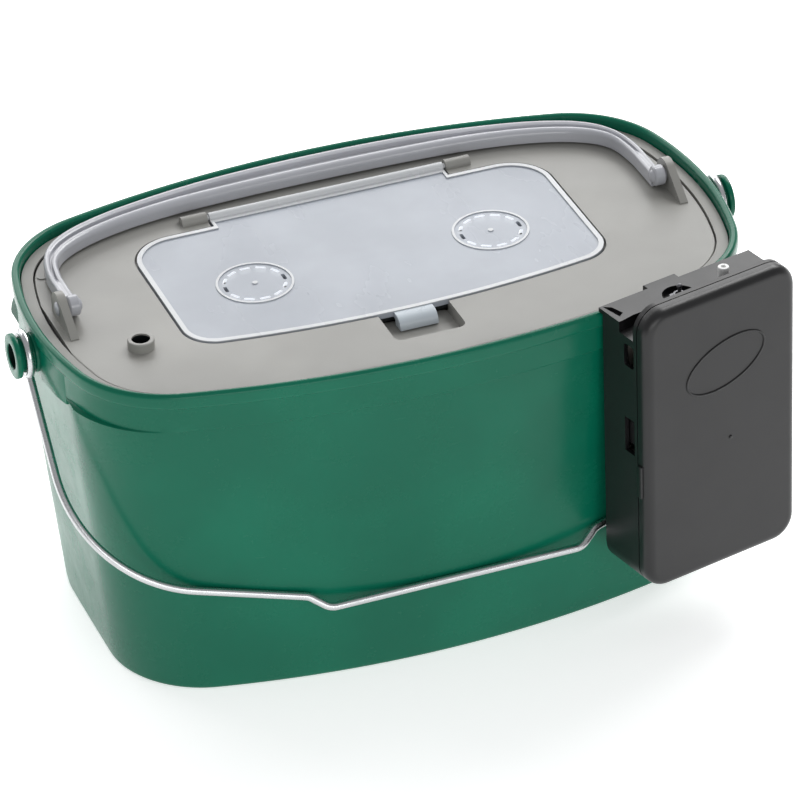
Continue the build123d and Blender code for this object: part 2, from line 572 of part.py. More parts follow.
INNER_BACK = PUMP_BACK + PUMP_WALL
RECESS_FLOOR = 175.5
CUP_UNDER = 173.3
NOTCH_FLOOR = 173.0
WINDOW_N = 137.6
WINDOW_Z = 118.6
WINDOW_WIDTH = 7.6
WINDOW_HEIGHT = 19.0
CHASSIS_N = INNER_BACK + 1.0
CHASSIS_THICK = 1.5
CHASSIS_FACE = CHASSIS_N + CHASSIS_THICK
CHASSIS_SCREWS = ((57.2, 104.0), (133.0, 104.0), (57.2, 166.0), (133.0, 166.0))
CLAMP_SCREW = (70.0, 136.0)
CHASSIS_MID = 95.5
SCREW_R = 1.25
CELL_S = (CELL_MID - CELL_PITCH / 2, CELL_MID + CELL_PITCH / 2)
with BuildPart() as pump_body:
    extrude(short_outline(PUMP_BACK), amount=PUMP_STEP - PUMP_BACK)
    extrude(tall_outline(PUMP_STEP), amount=PUMP_SEAM - PUMP_STEP)
    with BuildSketch(deck(DECK_UNDER)):
        with Locations((PUMP_MID, -117)):
            Rectangle(PUMP_WIDTH, 6.8)
    extrude(amount=DECK_TOP - DECK_UNDER)
    extrude(short_outline(INNER_BACK, -PUMP_WALL), amount=40, mode=Mode.SUBTRACT)
    extrude(tall_outline(PUMP_STEP + PUMP_WALL, -PUMP_WALL), amount=40, mode=Mode.SUBTRACT)
    # hook over the bucket rim, its outer face parallel to the lift-off path
    with BuildSketch(flank(HOOK_MID + HOOK_WIDTH / 2)):
        with BuildLine():
            Polyline(
                (118, DECK_UNDER), (112.25, DECK_UNDER), (HOOK_REACH + 0.8, HOOK_TIP_Z),
                (HOOK_REACH, HOOK_TIP_Z), (HOOK_REACH, DECK_TOP - 0.6), (HOOK_REACH + 0.6, DECK_TOP),
                (118, DECK_TOP), close=True,
            )
        make_face()
    extrude(amount=HOOK_WIDTH)
    # switch recess with its cup, nipple hole and pocket at the left end of the deck
    with BuildSketch(deck(CUP_UNDER)):
        with Locations((SWITCH_S, -SWITCH_N)):
            Circle(10.2)
    extrude(amount=DECK_UNDER - CUP_UNDER + 0.5)
    with BuildSketch(deck(RECESS_FLOOR)):
        with Locations((SWITCH_S, -SWITCH_N)):
            Circle(8.4)
    extrude(amount=3.4, mode=Mode.SUBTRACT)
    with BuildSketch(deck(CUP_UNDER - 1)):
        with Locations((SWITCH_S, -SWITCH_N)):
            Circle(3.0 + FIT)
        with Locations((NIPPLE_S, -NIPPLE_N)):
            Circle(STEM_R + FIT)
    extrude(amount=8, mode=Mode.SUBTRACT)
    with BuildSketch(deck(DECK_TOP - 1.7)):
        with BuildLine():
            Polyline(
                (PUMP_LEFT + 1.8, -114.4), (PUMP_LEFT + 5.0, -117.3), (PUMP_LEFT + 6.4, -124.4),
                (PUMP_LEFT + 3.1, -126.4), close=True,
            )
        make_face()
    extrude(amount=3, mode=Mode.SUBTRACT)
    # windows in the sides
    with BuildSketch(flank(PUMP_RIGHT + 1)):
        with Locations((WINDOW_N, WINDOW_Z)):
            Rectangle(WINDOW_WIDTH, WINDOW_HEIGHT)
    extrude(amount=PUMP_WIDTH + 2, mode=Mode.SUBTRACT)
    with BuildSketch(flank(PUMP_LEFT + PUMP_WALL + 1)):
        with Locations((WINDOW_N, 163.0)):
            RectangleRounded(WINDOW_WIDTH, 12, 1.5)
    extrude(amount=PUMP_WALL + 2, mode=Mode.SUBTRACT)
    # notched left end of the deck, closed below by a floor of its own
    with BuildSketch(deck(NOTCH_FLOOR - 2.0)):
        with Locations((PUMP_LEFT + 10.0, -(127.0 + PUMP_STEP) / 2 - 0.5)):
            Rectangle(20.0, PUMP_STEP - 127.0 + 1.0)
    extrude(amount=DECK_UNDER - NOTCH_FLOOR + 2.5)
    with BuildSketch(deck(NOTCH_FLOOR)):
        with BuildLine():
            Polyline(
                (PUMP_LEFT - 1, -130.1), (PUMP_LEFT + 1.6, -130.1), (PUMP_LEFT + 9.0, -128.9),
                (PUMP_LEFT + 17.5, -128.9), (PUMP_LEFT + 17.5, -PUMP_STEP), (PUMP_LEFT - 1, -PUMP_STEP),
                close=True,
            )
        make_face()
    extrude(amount=10, mode=Mode.SUBTRACT)
    # bosses for the chassis, ribs and pads that carry the cells
    with BuildSketch(front(INNER_BACK)):
        with Locations(*CHASSIS_SCREWS):
            Circle(3.4)
    extrude(amount=CHASSIS_N - INNER_BACK)
    with BuildSketch(front(INNER_BACK)):
        with Locations((CELL_MID, 68), (CELL_S[0] - CELL_R - 1.2, 68), (CELL_S[1] + CELL_R + 1.2, 68)):
            Rectangle(1.8, 44)
    extrude(amount=11)
    with BuildSketch(front(INNER_BACK)):
        with Locations((CELL_S[0], 68), (CELL_S[1], 68)):
            Rectangle(3, 40)
    extrude(amount=CELL_N - CELL_R - INNER_BACK)
    with BuildSketch(front(INNER_BACK - 1.4)):
        with Locations(*CHASSIS_SCREWS):
            Circle(SCREW_R)
    extrude(amount=6, mode=Mode.SUBTRACT)
pump_body.part.label = "pump_body"
export_step(pump_body.part, "parts/pump_body.step")

OVAL_AT = (97.7, 149.3)
OVAL_TILT = 16.0
with BuildPart() as pump_cover:
    with BuildPart(mode=Mode.PRIVATE) as shell:
        extrude(tall_outline(PUMP_SEAM + COVER_GAP), amount=PUMP_FRONT - PUMP_SEAM - COVER_GAP)
        fillet(shell.faces().sort_by(Axis((0, 0, 0), (YAW_S, -YAW_C, 0)))[-1].edges(), radius=4.5)
    add(shell.part)
    extrude(tall_outline(PUMP_SEAM, -PUMP_WALL), amount=PUMP_FRONT - PUMP_WALL - PUMP_SEAM, mode=Mode.SUBTRACT)
    # bare oval border and a small pip
    with BuildSketch(front(PUMP_FRONT - 0.2)):
        with Locations(OVAL_AT):
            Ellipse(24.0, 12.9, rotation=OVAL_TILT)
            Ellipse(22.8, 11.7, rotation=OVAL_TILT, mode=Mode.SUBTRACT)
        with Locations((100.5, 106.6)):
            Circle(1.0)
    extrude(amount=0.8)
    # side tongues behind the body windows, pads over the cells
    for s_in in (PUMP_LEFT + PUMP_WALL + 0.4, PUMP_RIGHT - PUMP_WALL - 0.4 - 1.8):
        with BuildSketch(front(132.5)):
            with Locations((s_in + 0.9, WINDOW_Z)):
                Rectangle(1.8, 13)
        extrude(amount=PUMP_FRONT - PUMP_WALL - 132.5 + 0.2)
    with BuildSketch(front(CELL_N + CELL_R + SEAT_GAP)):
        with Locations((CELL_S[0], 68), (CELL_S[1], 68)):
            Rectangle(4, 36)
    extrude(amount=PUMP_FRONT - PUMP_WALL - CELL_N - CELL_R - SEAT_GAP + 0.2)
    # release tab low on the left side
    with BuildSketch(flank(PUMP_LEFT + 0.5)):
        with Locations((146.0, 97.0)):
            RectangleRounded(3.6, 18, 1.2)
    extrude(amount=1.5)
pump_cover.part.label = "pump_cover"
export_step(pump_cover.part, "parts/pump_cover.step")

# ---------------------------------------------------------------- air pump works
SHELF_Z = 93.0
SHELF_THICK = 2.5
HEAD_BASE = 138.0
DIAPHRAGM_THICK = 1.2
VALVE_TOP = 152.0
HEAD_N = CHASSIS_FACE + HEAD_R
HEAD_SCREW_RING = 9.6
MOTOR_CENTRE_N = CHASSIS_FACE + MOTOR_R
with BuildPart() as pump_chassis:
    with BuildSketch(front(CHASSIS_N)):
        with Locations((CHASSIS_MID, (SHELF_Z + 171) / 2)):
            RectangleRounded(81.5, 171 - SHELF_Z, 3)
    extrude(amount=CHASSIS_THICK)
    with BuildSketch(deck(SHELF_Z)):
        with Locations((CHASSIS_MID, -(CHASSIS_N + 147) / 2)):
            Rectangle(81.5, 147 - CHASSIS_N)
    extrude(amount=SHELF_THICK)
    for start in (MOTOR_START + 2.5, MOTOR_START + 20.5):
        with BuildSketch(flank(start + 2.5)):
            with Locations((MOTOR_CENTRE_N, (SHELF_Z + MOTOR_Z - 2) / 2)):
                Rectangle(2 * MOTOR_R, MOTOR_Z - 2 - SHELF_Z)
            with Locations((MOTOR_CENTRE_N, MOTOR_Z)):
                Circle(MOTOR_R + FIT, mode=Mode.SUBTRACT)
        extrude(amount=2.5)
    with BuildSketch(front(CHASSIS_N - 1)):
        with Locations(*CHASSIS_SCREWS):
            Circle(SCREW_R)
        with Locations(CLAMP_SCREW):
            Circle(SCREW_R)
    extrude(amount=4, mode=Mode.SUBTRACT)
pump_chassis.part.label = "pump_chassis"
export_step(pump_chassis.part, "parts/pump_chassis.step")

with BuildPart() as chassis_screws:
    with BuildSketch(front(INNER_BACK - 1.4)):
        with Locations(*CHASSIS_SCREWS):
            Circle(SCREW_R)
    extrude(amount=CHASSIS_FACE - INNER_BACK + 1.4)
    with BuildSketch(front(CHASSIS_FACE)):
        with Locations(*CHASSIS_SCREWS):
            Circle(2.4)
    extrude(amount=1.6)
    with BuildSketch(front(CHASSIS_FACE + 0.8)):
        with Locations(*CHASSIS_SCREWS):
            Rectangle(3.2, 0.7)
            Rectangle(0.7, 3.2)
    extrude(amount=2, mode=Mode.SUBTRACT)
chassis_screws.part.label = "chassis_screws"
export_step(chassis_screws.part, "parts/chassis_screws.step")

with BuildPart() as motor:
    with BuildSketch(flank(MOTOR_START)):
        with Locations((MOTOR_CENTRE_N, MOTOR_Z)):
            Circle(MOTOR_R)
    extrude(amount=-MOTOR_LENGTH)
    with BuildSketch(flank(MOTOR_START + MOTOR_LENGTH)):
        with Locations((MOTOR_CENTRE_N, MOTOR_Z)):
            Circle(4.0)
    extrude(amount=-1.8)
    with BuildSketch(flank(MOTOR_START + 6)):
        with Locations((MOTOR_CENTRE_N, MOTOR_Z)):
            Circle(SHAFT_R + 0.04)
    extrude(amount=-40, mode=Mode.SUBTRACT)
motor.part.label = "motor"
export_step(motor.part, "parts/motor.step")

with BuildPart() as motor_clamp:
    with BuildSketch(flank(MOTOR_START + 16.5)):
        with Locations((MOTOR_CENTRE_N, MOTOR_Z)):
            Circle(MOTOR_R + 1.2)
            Circle(MOTOR_R + FIT, mode=Mode.SUBTRACT)
        with Locations(((CHASSIS_FACE + 148) / 2, MOTOR_Z + 18)):
            Rectangle(148 - CHASSIS_FACE, 36, mode=Mode.INTERSECT)
        with Locations((CHASSIS_FACE + 0.6, MOTOR_Z + 13)):
            Rectangle(1.2, 18)
        with Locations((MOTOR_CENTRE_N, MOTOR_Z)):
            Circle(MOTOR_R + FIT, mode=Mode.SUBTRACT)
    extrude(amount=8)
    with BuildSketch(front(CHASSIS_FACE - 1)):
        with Locations(CLAMP_SCREW):
            Circle(SCREW_R)
    extrude(amount=4, mode=Mode.SUBTRACT)
motor_clamp.part.label = "motor_clamp"
export_step(motor_clamp.part, "parts/motor_clamp.step")

with BuildPart() as clamp_screw:
    with BuildSketch(front(CHASSIS_N + 0.1)):
        with Locations(CLAMP_SCREW):
            Circle(SCREW_R)
    extrude(amount=CHASSIS_THICK + 1.1)
    with BuildSketch(front(CHASSIS_FACE + 1.2)):
        with Locations(CLAMP_SCREW):
            Circle(2.4)
    extrude(amount=1.5)
clamp_screw.part.label = "clamp_screw"
export_step(clamp_screw.part, "parts/clamp_screw.step")

with BuildPart() as motor_shaft:
    with BuildSketch(flank(MOTOR_START + 6.3)):
        with Locations((MOTOR_CENTRE_N, MOTOR_Z)):
            Circle(SHAFT_R)
    extrude(amount=-(HEAD_S - 3.0 - MOTOR_START - 6.3))
motor_shaft.part.label = "motor_shaft"
export_step(motor_shaft.part, "parts/motor_shaft.step")

with BuildPart() as eccentric:
    with BuildSketch(flank(HEAD_S - 7.0)):
        with Locations((MOTOR_CENTRE_N, MOTOR_Z)):
            Circle(CAM_R)
    extrude(amount=-4.0)
    with BuildSketch(flank(HEAD_S - 8.0)):
        with Locations((MOTOR_CENTRE_N, MOTOR_Z)):
            Circle(SHAFT_R)
    extrude(amount=-6.0, mode=Mode.SUBTRACT)
    with BuildSketch(flank(HEAD_S - 3.0)):
        with Locations((MOTOR_CENTRE_N, MOTOR_Z + CRANK)):
            Circle(CRANK_PIN_R)
    extrude(amount=-6.0)
eccentric.part.label = "eccentric"
export_step(eccentric.part, "parts/eccentric.step")

ROD_EYE_R = CRANK + CRANK_PIN_R + 0.4
with BuildPart() as connecting_rod:
    with BuildSketch(flank(HEAD_S - 1.6)):
        with Locations((MOTOR_CENTRE_N, MOTOR_Z)):
            Circle(ROD_EYE_R + 2.0)
        with Locations((MOTOR_CENTRE_N, (MOTOR_Z + HEAD_BASE + 2) / 2)):
            Rectangle(3.2, HEAD_BASE + 2 - MOTOR_Z)
        with Locations((MOTOR_CENTRE_N, MOTOR_Z)):
            Circle(ROD_EYE_R, mode=Mode.SUBTRACT)
    extrude(amount=-3.2)
connecting_rod.part.label = "connecting_rod"
export_step(connecting_rod.part, "parts/connecting_rod.step")

with BuildPart() as pump_head:
    with BuildSketch(deck(HEAD_BASE)):
        with Locations((HEAD_S, -HEAD_N)):
            Circle(HEAD_R)
        with Locations((HEAD_S, -(CHASSIS_FACE + 2))):
            Rectangle(2 * HEAD_R, 4)
    extrude(amount=DIAPHRAGM_Z - HEAD_BASE)
    with BuildSketch(deck(HEAD_BASE)):
        with Locations((HEAD_S, -HEAD_N)):
            Circle(7.4)
    extrude(amount=DIAPHRAGM_Z - HEAD_BASE, mode=Mode.SUBTRACT)
    with BuildSketch(deck(HEAD_BASE + 1)):
        with Locations((HEAD_S, -HEAD_N)):
            with PolarLocations(HEAD_SCREW_RING, 4, start_angle=45):
                Circle(1.0)
    extrude(amount=10, mode=Mode.SUBTRACT)
pump_head.part.label = "pump_head"
export_step(pump_head.part, "parts/pump_head.step")

with BuildPart() as diaphragm:
    with BuildSketch(deck(DIAPHRAGM_Z)):
        with Locations((HEAD_S, -HEAD_N)):
            Circle(HEAD_R - 0.4)
    extrude(amount=DIAPHRAGM_THICK)
    with BuildSketch(deck(HEAD_BASE + 2)):
        with Locations((HEAD_S, -HEAD_N)):
            Circle(3.4)
    extrude(amount=DIAPHRAGM_Z - HEAD_BASE - 2)
    with BuildSketch(deck(DIAPHRAGM_Z - 1)):
        with Locations((HEAD_S, -HEAD_N)):
            with PolarLocations(HEAD_SCREW_RING, 4, start_angle=45):
                Circle(1.0)
    extrude(amount=4, mode=Mode.SUBTRACT)
diaphragm.part.label = "diaphragm"
export_step(diaphragm.part, "parts/diaphragm.step")

with BuildPart() as valve_cover:
    with BuildSketch(deck(DIAPHRAGM_Z + DIAPHRAGM_THICK)):
        with Locations((HEAD_S, -HEAD_N)):
            Circle(HEAD_R)
        with Locations(((HEAD_S + NIPPLE_S) / 2, -NIPPLE_N - 0.5)):
            Rectangle(NIPPLE_S - HEAD_S, 8)
        with Locations((NIPPLE_S, -NIPPLE_N - 0.5)):
            Circle(4)
    extrude(amount=VALVE_TOP - DIAPHRAGM_Z - DIAPHRAGM_THICK)
    with BuildSketch(deck(VALVE_TOP)):
        with Locations((NIPPLE_S, -NIPPLE_N)):
            Circle(STEM_R + 1.6)
    extrude(amount=5)
    with BuildSketch(deck(VALVE_TOP - 2)):
        with Locations((NIPPLE_S, -NIPPLE_N)):
            Circle(STEM_R)
    extrude(amount=10, mode=Mode.SUBTRACT)
    with BuildSketch(deck(DIAPHRAGM_Z)):
        with Locations((HEAD_S, -HEAD_N)):
            with PolarLocations(HEAD_SCREW_RING, 4, start_angle=45):
                Circle(1.0)
            Circle(5.0)
    extrude(amount=3.4, mode=Mode.SUBTRACT)
    with BuildSketch(deck(DIAPHRAGM_Z)):
        with Locations((HEAD_S, -HEAD_N)):
            with PolarLocations(HEAD_SCREW_RING, 4, start_angle=45):
                Circle(1.0)
    extrude(amount=20, mode=Mode.SUBTRACT)
valve_cover.part.label = "valve_cover"
export_step(valve_cover.part, "parts/valve_cover.step")

with BuildPart() as head_screws:
    with BuildSketch(deck(HEAD_BASE + 1)):
        with Locations((HEAD_S, -HEAD_N)):
            with PolarLocations(HEAD_SCREW_RING, 4, start_angle=45):
                Circle(1.0)
    extrude(amount=VALVE_TOP - HEAD_BASE - 1)
    with BuildSketch(deck(VALVE_TOP)):
        with Locations((HEAD_S, -HEAD_N)):
            with PolarLocations(HEAD_SCREW_RING, 4, start_angle=45):
                Circle(1.8)
    extrude(amount=1.3)
head_screws.part.label = "head_screws"
export_step(head_screws.part, "parts/head_screws.step")

with BuildPart() as outlet_nipple:
    with BuildSketch(deck(VALVE_TOP - 2)):
        with Locations((NIPPLE_S, -NIPPLE_N)):
            Circle(STEM_R)
    extrude(amount=DECK_TOP - VALVE_TOP + 2)
    with BuildSketch(deck(DECK_TOP)):
        with Locations((NIPPLE_S, -NIPPLE_N)):
            Circle(NIPPLE_R)
    extrude(amount=NIPPLE_TOP - DECK_TOP)
    fillet(outlet_nipple.faces().sort_by(Axis.Z)[-1].edges(), radius=0.5)
    with BuildSketch(deck(DECK_UNDER - 1.6)):
        with Locations((NIPPLE_S, -NIPPLE_N)):
            Circle(4.2)
    extrude(amount=1.6)
    with BuildSketch(deck(VALVE_TOP - 3)):
        with Locations((NIPPLE_S, -NIPPLE_N)):
            Circle(1.2)
    extrude(amount=60, mode=Mode.SUBTRACT)
outlet_nipple.part.label = "outlet_nipple"
export_step(outlet_nipple.part, "parts/outlet_nipple.step")

# ---------------------------------------------------------------- toggle switch
SWITCH_PIVOT_Z = 176.6
PIVOT_PIN_R = 0.7
with BuildPart() as switch_body:
    with BuildSketch(deck(160)):
        with Locations((SWITCH_S, -SWITCH_N)):
            Rectangle(12, 8)
    extrude(amount=CUP_UNDER - 160)
    with BuildSketch(deck(CUP_UNDER)):
        with Locations((SWITCH_S, -SWITCH_N)):
            Circle(3.0)
    extrude(amount=DECK_TOP + 0.6 - CUP_UNDER)
    with BuildSketch(deck(CUP_UNDER + 0.5)):
        with Locations((SWITCH_S, -SWITCH_N)):
            Circle(2.1)
    extrude(amount=20, mode=Mode.SUBTRACT)
    with BuildSketch(deck(156)):
        with Locations((SWITCH_S - 4, -SWITCH_N), (SWITCH_S, -SWITCH_N), (SWITCH_S + 4, -SWITCH_N)):
            Rectangle(0.8, 2.4)
    extrude(amount=4)
    with BuildSketch(front(SWITCH_N - 4)):
        with Locations((SWITCH_S, SWITCH_PIVOT_Z)):
            Circle(PIVOT_PIN_R + 0.06)
    extrude(amount=8, mode=Mode.SUBTRACT)
switch_body.part.label = "switch_body"
export_step(switch_body.part, "parts/switch_body.step")

with BuildPart() as switch_nut:
    with BuildSketch(deck(RECESS_FLOOR)):
        with Locations((SWITCH_S, -SWITCH_N)):
            RegularPolygon(5.2, 6)
            Circle(3.0 + FIT, mode=Mode.SUBTRACT)
    extrude(amount=1.8)
switch_nut.part.label = "switch_nut"
export_step(switch_nut.part, "parts/switch_nut.step")

with BuildPart() as switch_lever:
    with Locations(spot(SWITCH_S, SWITCH_N, SWITCH_PIVOT_Z)):
        Sphere(1.6)
        Cylinder(0.9, 6.4, align=(Align.CENTER, Align.CENTER, Align.MIN))
    with Locations(spot(SWITCH_S, SWITCH_N, SWITCH_PIVOT_Z + 6.4)):
        Sphere(1.4)
    # cross pin that turns in the bushing
    with BuildSketch(front(SWITCH_N - 2.7)):
        with Locations((SWITCH_S, SWITCH_PIVOT_Z)):
            Circle(PIVOT_PIN_R)
    extrude(amount=5.4)
switch_lever.part.label = "switch_lever"
export_step(switch_lever.part, "parts/switch_lever.step")

# ---------------------------------------------------------------- cells and contacts
CELL_TOP = CELL_BASE + CELL_LENGTH
NUB_TOP = SHELF_Z - 0.5


def cell(s):
    """Round cell standing upright with a contact nub on its top."""
    with BuildPart() as can:
        with BuildSketch(deck(CELL_BASE)):
            with Locations((s, -CELL_N)):
                Circle(CELL_R)
        extrude(amount=CELL_TOP - CELL_BASE)
        chamfer(can.edges().filter_by(GeomType.CIRCLE), length=0.8)
        with BuildSketch(deck(CELL_TOP)):
            with Locations((s, -CELL_N)):
                Circle(3.0)
        extrude(amount=NUB_TOP - CELL_TOP)
    return can.part


battery_cell_left = cell(CELL_S[0])
battery_cell_left.label = "battery_cell_left"
export_step(battery_cell_left, "parts/battery_cell_left.step")
battery_cell_right = cell(CELL_S[1])
battery_cell_right.label = "battery_cell_right"
export_step(battery_cell_right, "parts/battery_cell_right.step")

CAVITY_FLOOR = PUMP_BASE + PUMP_WALL
with BuildPart() as contact_springs:
    for s in CELL_S:
        with BuildSketch(deck(CAVITY_FLOOR)):
            with Locations((s, -CELL_N)):
                Rectangle(14, 14)
        extrude(amount=0.5)
        with BuildLine(spot(s, CELL_N, CAVITY_FLOOR + 0.8)) as coil:
            Helix(pitch=2.2, height=CELL_BASE - CAVITY_FLOOR - 1.3, radius=4.4)
        with BuildSketch(Plane(origin=coil.line @ 0, z_dir=coil.line % 0)):
            Circle(0.5)
        sweep(path=coil.line, is_frenet=True)
contact_springs.part.label = "contact_springs"
export_step(contact_springs.part, "parts/contact_springs.step")

with BuildPart() as contact_plates:
    with BuildSketch(deck(NUB_TOP)):
        with Locations((CELL_S[0], -CELL_N), (CELL_S[1], -CELL_N)):
            Rectangle(12, 12)
    extrude(amount=SHELF_Z - NUB_TOP)
contact_plates.part.label = "contact_plates"
export_step(contact_plates.part, "parts/contact_plates.step")
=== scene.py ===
"""Looks of the aerated bait bucket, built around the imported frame."""

import logging
from dataclasses import dataclass
from enum import Enum
from math import atan2, cos, hypot, inf, pi, radians, sin, sqrt

import bpy
from mathutils import Matrix, Vector


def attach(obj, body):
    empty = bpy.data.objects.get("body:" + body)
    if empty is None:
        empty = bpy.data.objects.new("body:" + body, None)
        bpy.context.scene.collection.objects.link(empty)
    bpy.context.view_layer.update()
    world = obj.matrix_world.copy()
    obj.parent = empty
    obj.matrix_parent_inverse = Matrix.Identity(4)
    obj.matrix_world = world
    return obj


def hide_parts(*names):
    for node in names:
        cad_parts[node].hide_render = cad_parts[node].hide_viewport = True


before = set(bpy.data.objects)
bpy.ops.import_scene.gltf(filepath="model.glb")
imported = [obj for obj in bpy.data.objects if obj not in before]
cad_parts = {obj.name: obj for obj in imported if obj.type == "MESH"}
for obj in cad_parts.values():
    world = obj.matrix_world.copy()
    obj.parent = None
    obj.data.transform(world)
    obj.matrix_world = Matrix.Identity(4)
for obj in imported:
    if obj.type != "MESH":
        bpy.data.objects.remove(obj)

LOG = logging.getLogger("bait_bucket")
MM = 0.001
TAU = 2.0 * pi
SAME_POINT = 1e-7

# Angles in degrees from which an edge is rounded, or shades as a crease
BEVEL_FROM = 28.0
SKIN_CREASE = 30.0
COPY_CREASE = 34.0

Piece = bpy.types.Object
Material = bpy.types.Material
Ring = list[Vector]
Pair = tuple[float, float]
Triple = tuple[float, float, float]
Colour = Triple
Profile = tuple[Pair, ...]
Outline = tuple[float, float, float, float, float]


class Side(Enum):
    """The two ends of the bucket along X."""

    RIGHT = 1
    LEFT = -1


# ---------- shader maths


class Value:
    """A shader socket that takes part in Python expressions."""

    def __init__(self, shader: "Shader", socket: bpy.types.NodeSocket) -> None:
        """Keep the socket and the shader it belongs to."""
        self.shader = shader
        self.socket = socket

    def __add__(self, other: object) -> "Value":
        """Sum."""
        return self.shader.maths("ADD", self, other)

    def __sub__(self, other: object) -> "Value":
        """Difference."""
        return self.shader.maths("SUBTRACT", self, other)

    def __rsub__(self, other: object) -> "Value":
        """Difference, reflected."""
        return self.shader.maths("SUBTRACT", other, self)

    def __mul__(self, other: object) -> "Value":
        """Product."""
        return self.shader.maths("MULTIPLY", self, other)

    def above(self, level: float) -> "Value":
        """One where the value is above a level, else zero."""
        return self.shader.maths("GREATER_THAN", self, level)

    def ramp(self, low: float, high: float) -> "Value":
        """Zero to one, eased at both ends and clamped, while the value goes from low to high."""
        sockets = {"Value": self, "From Min": low, "From Max": high}
        return self.shader.node("ShaderNodeMapRange", {"interpolation_type": "SMOOTHSTEP"}, sockets)


class Shader:
    """One material and the few ways in which its nodes are added."""

    def __init__(self, name: str) -> None:
        """Make an empty material with a Principled shader and an output.

        Args:
            name: Name of the material.
        """
        self.material = bpy.data.materials.new(name)
        self.material.use_nodes = True
        self.tree = self.material.node_tree
        self.tree.nodes.clear()
        self.surface = self.tree.nodes.new("ShaderNodeBsdfPrincipled")
        output = self.tree.nodes.new("ShaderNodeOutputMaterial")
        self.tree.links.new(self.surface.outputs[0], output.inputs["Surface"])
        self.place = self.tree.nodes.new("ShaderNodeTexCoord").outputs["Object"]

    def feed(self, node: bpy.types.Node, sockets: dict) -> None:
        """Give values or links to a node's inputs.

        Args:
            node: The node.
            sockets: Names or indices of its inputs, each with a number, a colour or a Value.
        """
        for key, value in sockets.items():
            target = node.inputs[key]
            if isinstance(value, Value):
                value = value.socket
            if isinstance(value, bpy.types.NodeSocket):
                self.tree.links.new(value, target)
            else:
                target.default_value = value

    def node(self, kind: str, settings: dict, sockets: dict, result: object = 0) -> Value:
        """Add a node.

        Args:
            kind: The node's type.
            settings: Its own properties, set first.
            sockets: Values or links of its inputs.
            result: Name or index of the output handed back.

        Returns:
            The chosen output.
        """
        node = self.tree.nodes.new(kind)
        for key, value in settings.items():
            setattr(node, key, value)
        self.feed(node, sockets)
        return Value(self, node.outputs[result])

    def maths(self, operation: str, first: object, second: object = 0.0) -> Value:
        """Result of one Math node on two inputs, each a Value or a number."""
        return self.node("ShaderNodeMath", {"operation": operation}, {0: first, 1: second})

    def stretched(self, scale: Triple, turn: Triple = (0.0, 0.0, 0.0)) -> Value:
        """Object coordinates, scaled and turned along each axis."""
        sockets = {"Vector": self.place, "Scale": scale, "Rotation": turn}
        return self.node("ShaderNodeMapping", {}, sockets)

    def noise(self, scale: float, detail: float = 2.0, rough: float = 0.5, at: Value | None = None) -> Value:
        """Noise on Object coordinates, zero to one."""
        sockets = {"Vector": at or self.place, "Scale": scale, "Detail": detail, "Roughness": rough}
        return self.node("ShaderNodeTexNoise", {}, sockets)

    def blend(self, factor: object, low: object, high: object) -> Value:
        """Colour between two, each a Value or its red, green and blue."""
        low, high = (c if isinstance(c, Value) else (*c, 1.0) for c in (low, high))
        return self.node("ShaderNodeMix", {"data_type": "RGBA"}, {0: factor, 6: low, 7: high}, result=2)

    def along(self, axis: int) -> Value:
        """X, Y or Z of the Object coordinates, in metres."""
        return self.node("ShaderNodeSeparateXYZ", {}, {0: self.place}, result=axis)

    def inside(self, low: tuple, high: tuple) -> Value:
        """Mask of a box, in whose corners None leaves a side open.

        Args:
            low: Its low corner in metres.
            high: Its high corner in metres.

        Returns:
            One inside the box, else zero.
        """
        mask = None
        for axis in range(3):
            for bound, sign in ((low[axis], 1), (high[axis], -1)):
                if bound is not None:
                    part = (self.along(axis) * sign).above(bound * sign)
                    mask = part if mask is None else mask * part
        return mask

    def bump(self, height: Value, distance: float, normal: Value | None = None) -> Value:
        """Normal bent by a height, where one stands for the distance in metres, over another bump."""
        sockets = {"Height": height, "Distance": distance, "Strength": 1.0}
        return self.node("ShaderNodeBump", {}, sockets | ({"Normal": normal} if normal else {}))


# ---------- finishes


# Colour of a gap that no light reaches
DEEP_SHADE = (0.006, 0.008, 0.009)


@dataclass(frozen=True)
class MouldedPlastic:
    """Injection-moulded plastic with faint flow clouding, fine grain and handling scuffs, and painted shade
    in given boxes.
    """

    name: str
    colour: Colour
    roughness: float = 0.3
    cloud: float = 0.06
    grain_scale: float = 1800.0
    grain_depth: float = 0.00001
    wave_depth: float = 0.0
    scuffs: float = 0.2
    gloss: float = 0.5
    # Boxes, by their low and high corners in metres, painted with the colour of an unlit gap as shade
    shade: tuple = ()

    def make(self) -> Material:
        """Build the material.

        Returns:
            The material.
        """
        sh = Shader(self.name)
        pale = tuple(min(1.0, c * (1 + 2.5 * self.cloud) + 0.01 * self.cloud) for c in self.colour)
        deep = tuple(c * (1 - 2.0 * self.cloud) for c in self.colour)
        worn = tuple(min(1.0, c * 1.25 + 0.01) for c in self.colour)
        clouds = sh.noise(9.0, detail=3.0, rough=0.55).ramp(0.35, 0.68)
        lines = sh.noise(60.0, detail=4.0, rough=0.65, at=sh.stretched((1.0, 0.06, 7.0), (0.5, 0.2, 0.4)))
        scratch = lines.ramp(0.60, 0.72) * sh.noise(14.0).ramp(0.48, 0.66)
        colour = sh.blend(scratch * (0.35 * self.scuffs), sh.blend(clouds, deep, pale), worn)
        # Painted shade: inside each box the colour becomes that of an unlit gap
        for low, high in self.shade:
            colour = sh.blend(sh.inside(low, high), colour, DEEP_SHADE)
        dust = sh.noise(32.0, detail=6.0, rough=0.7).ramp(0.3, 0.75)
        rough = dust * 0.10 + scratch * (0.22 * self.scuffs) + (self.roughness - 0.04)
        normal = sh.bump(sh.noise(self.grain_scale, detail=3.0, rough=0.6), self.grain_depth)
        if self.wave_depth:
            normal = sh.bump(sh.noise(16.0, detail=1.0, rough=0.4), self.wave_depth, normal)
        sh.feed(sh.surface, {"Base Color": colour, "Roughness": rough, "Normal": normal})
        sh.feed(sh.surface, {"Specular IOR Level": self.gloss})
        return sh.material


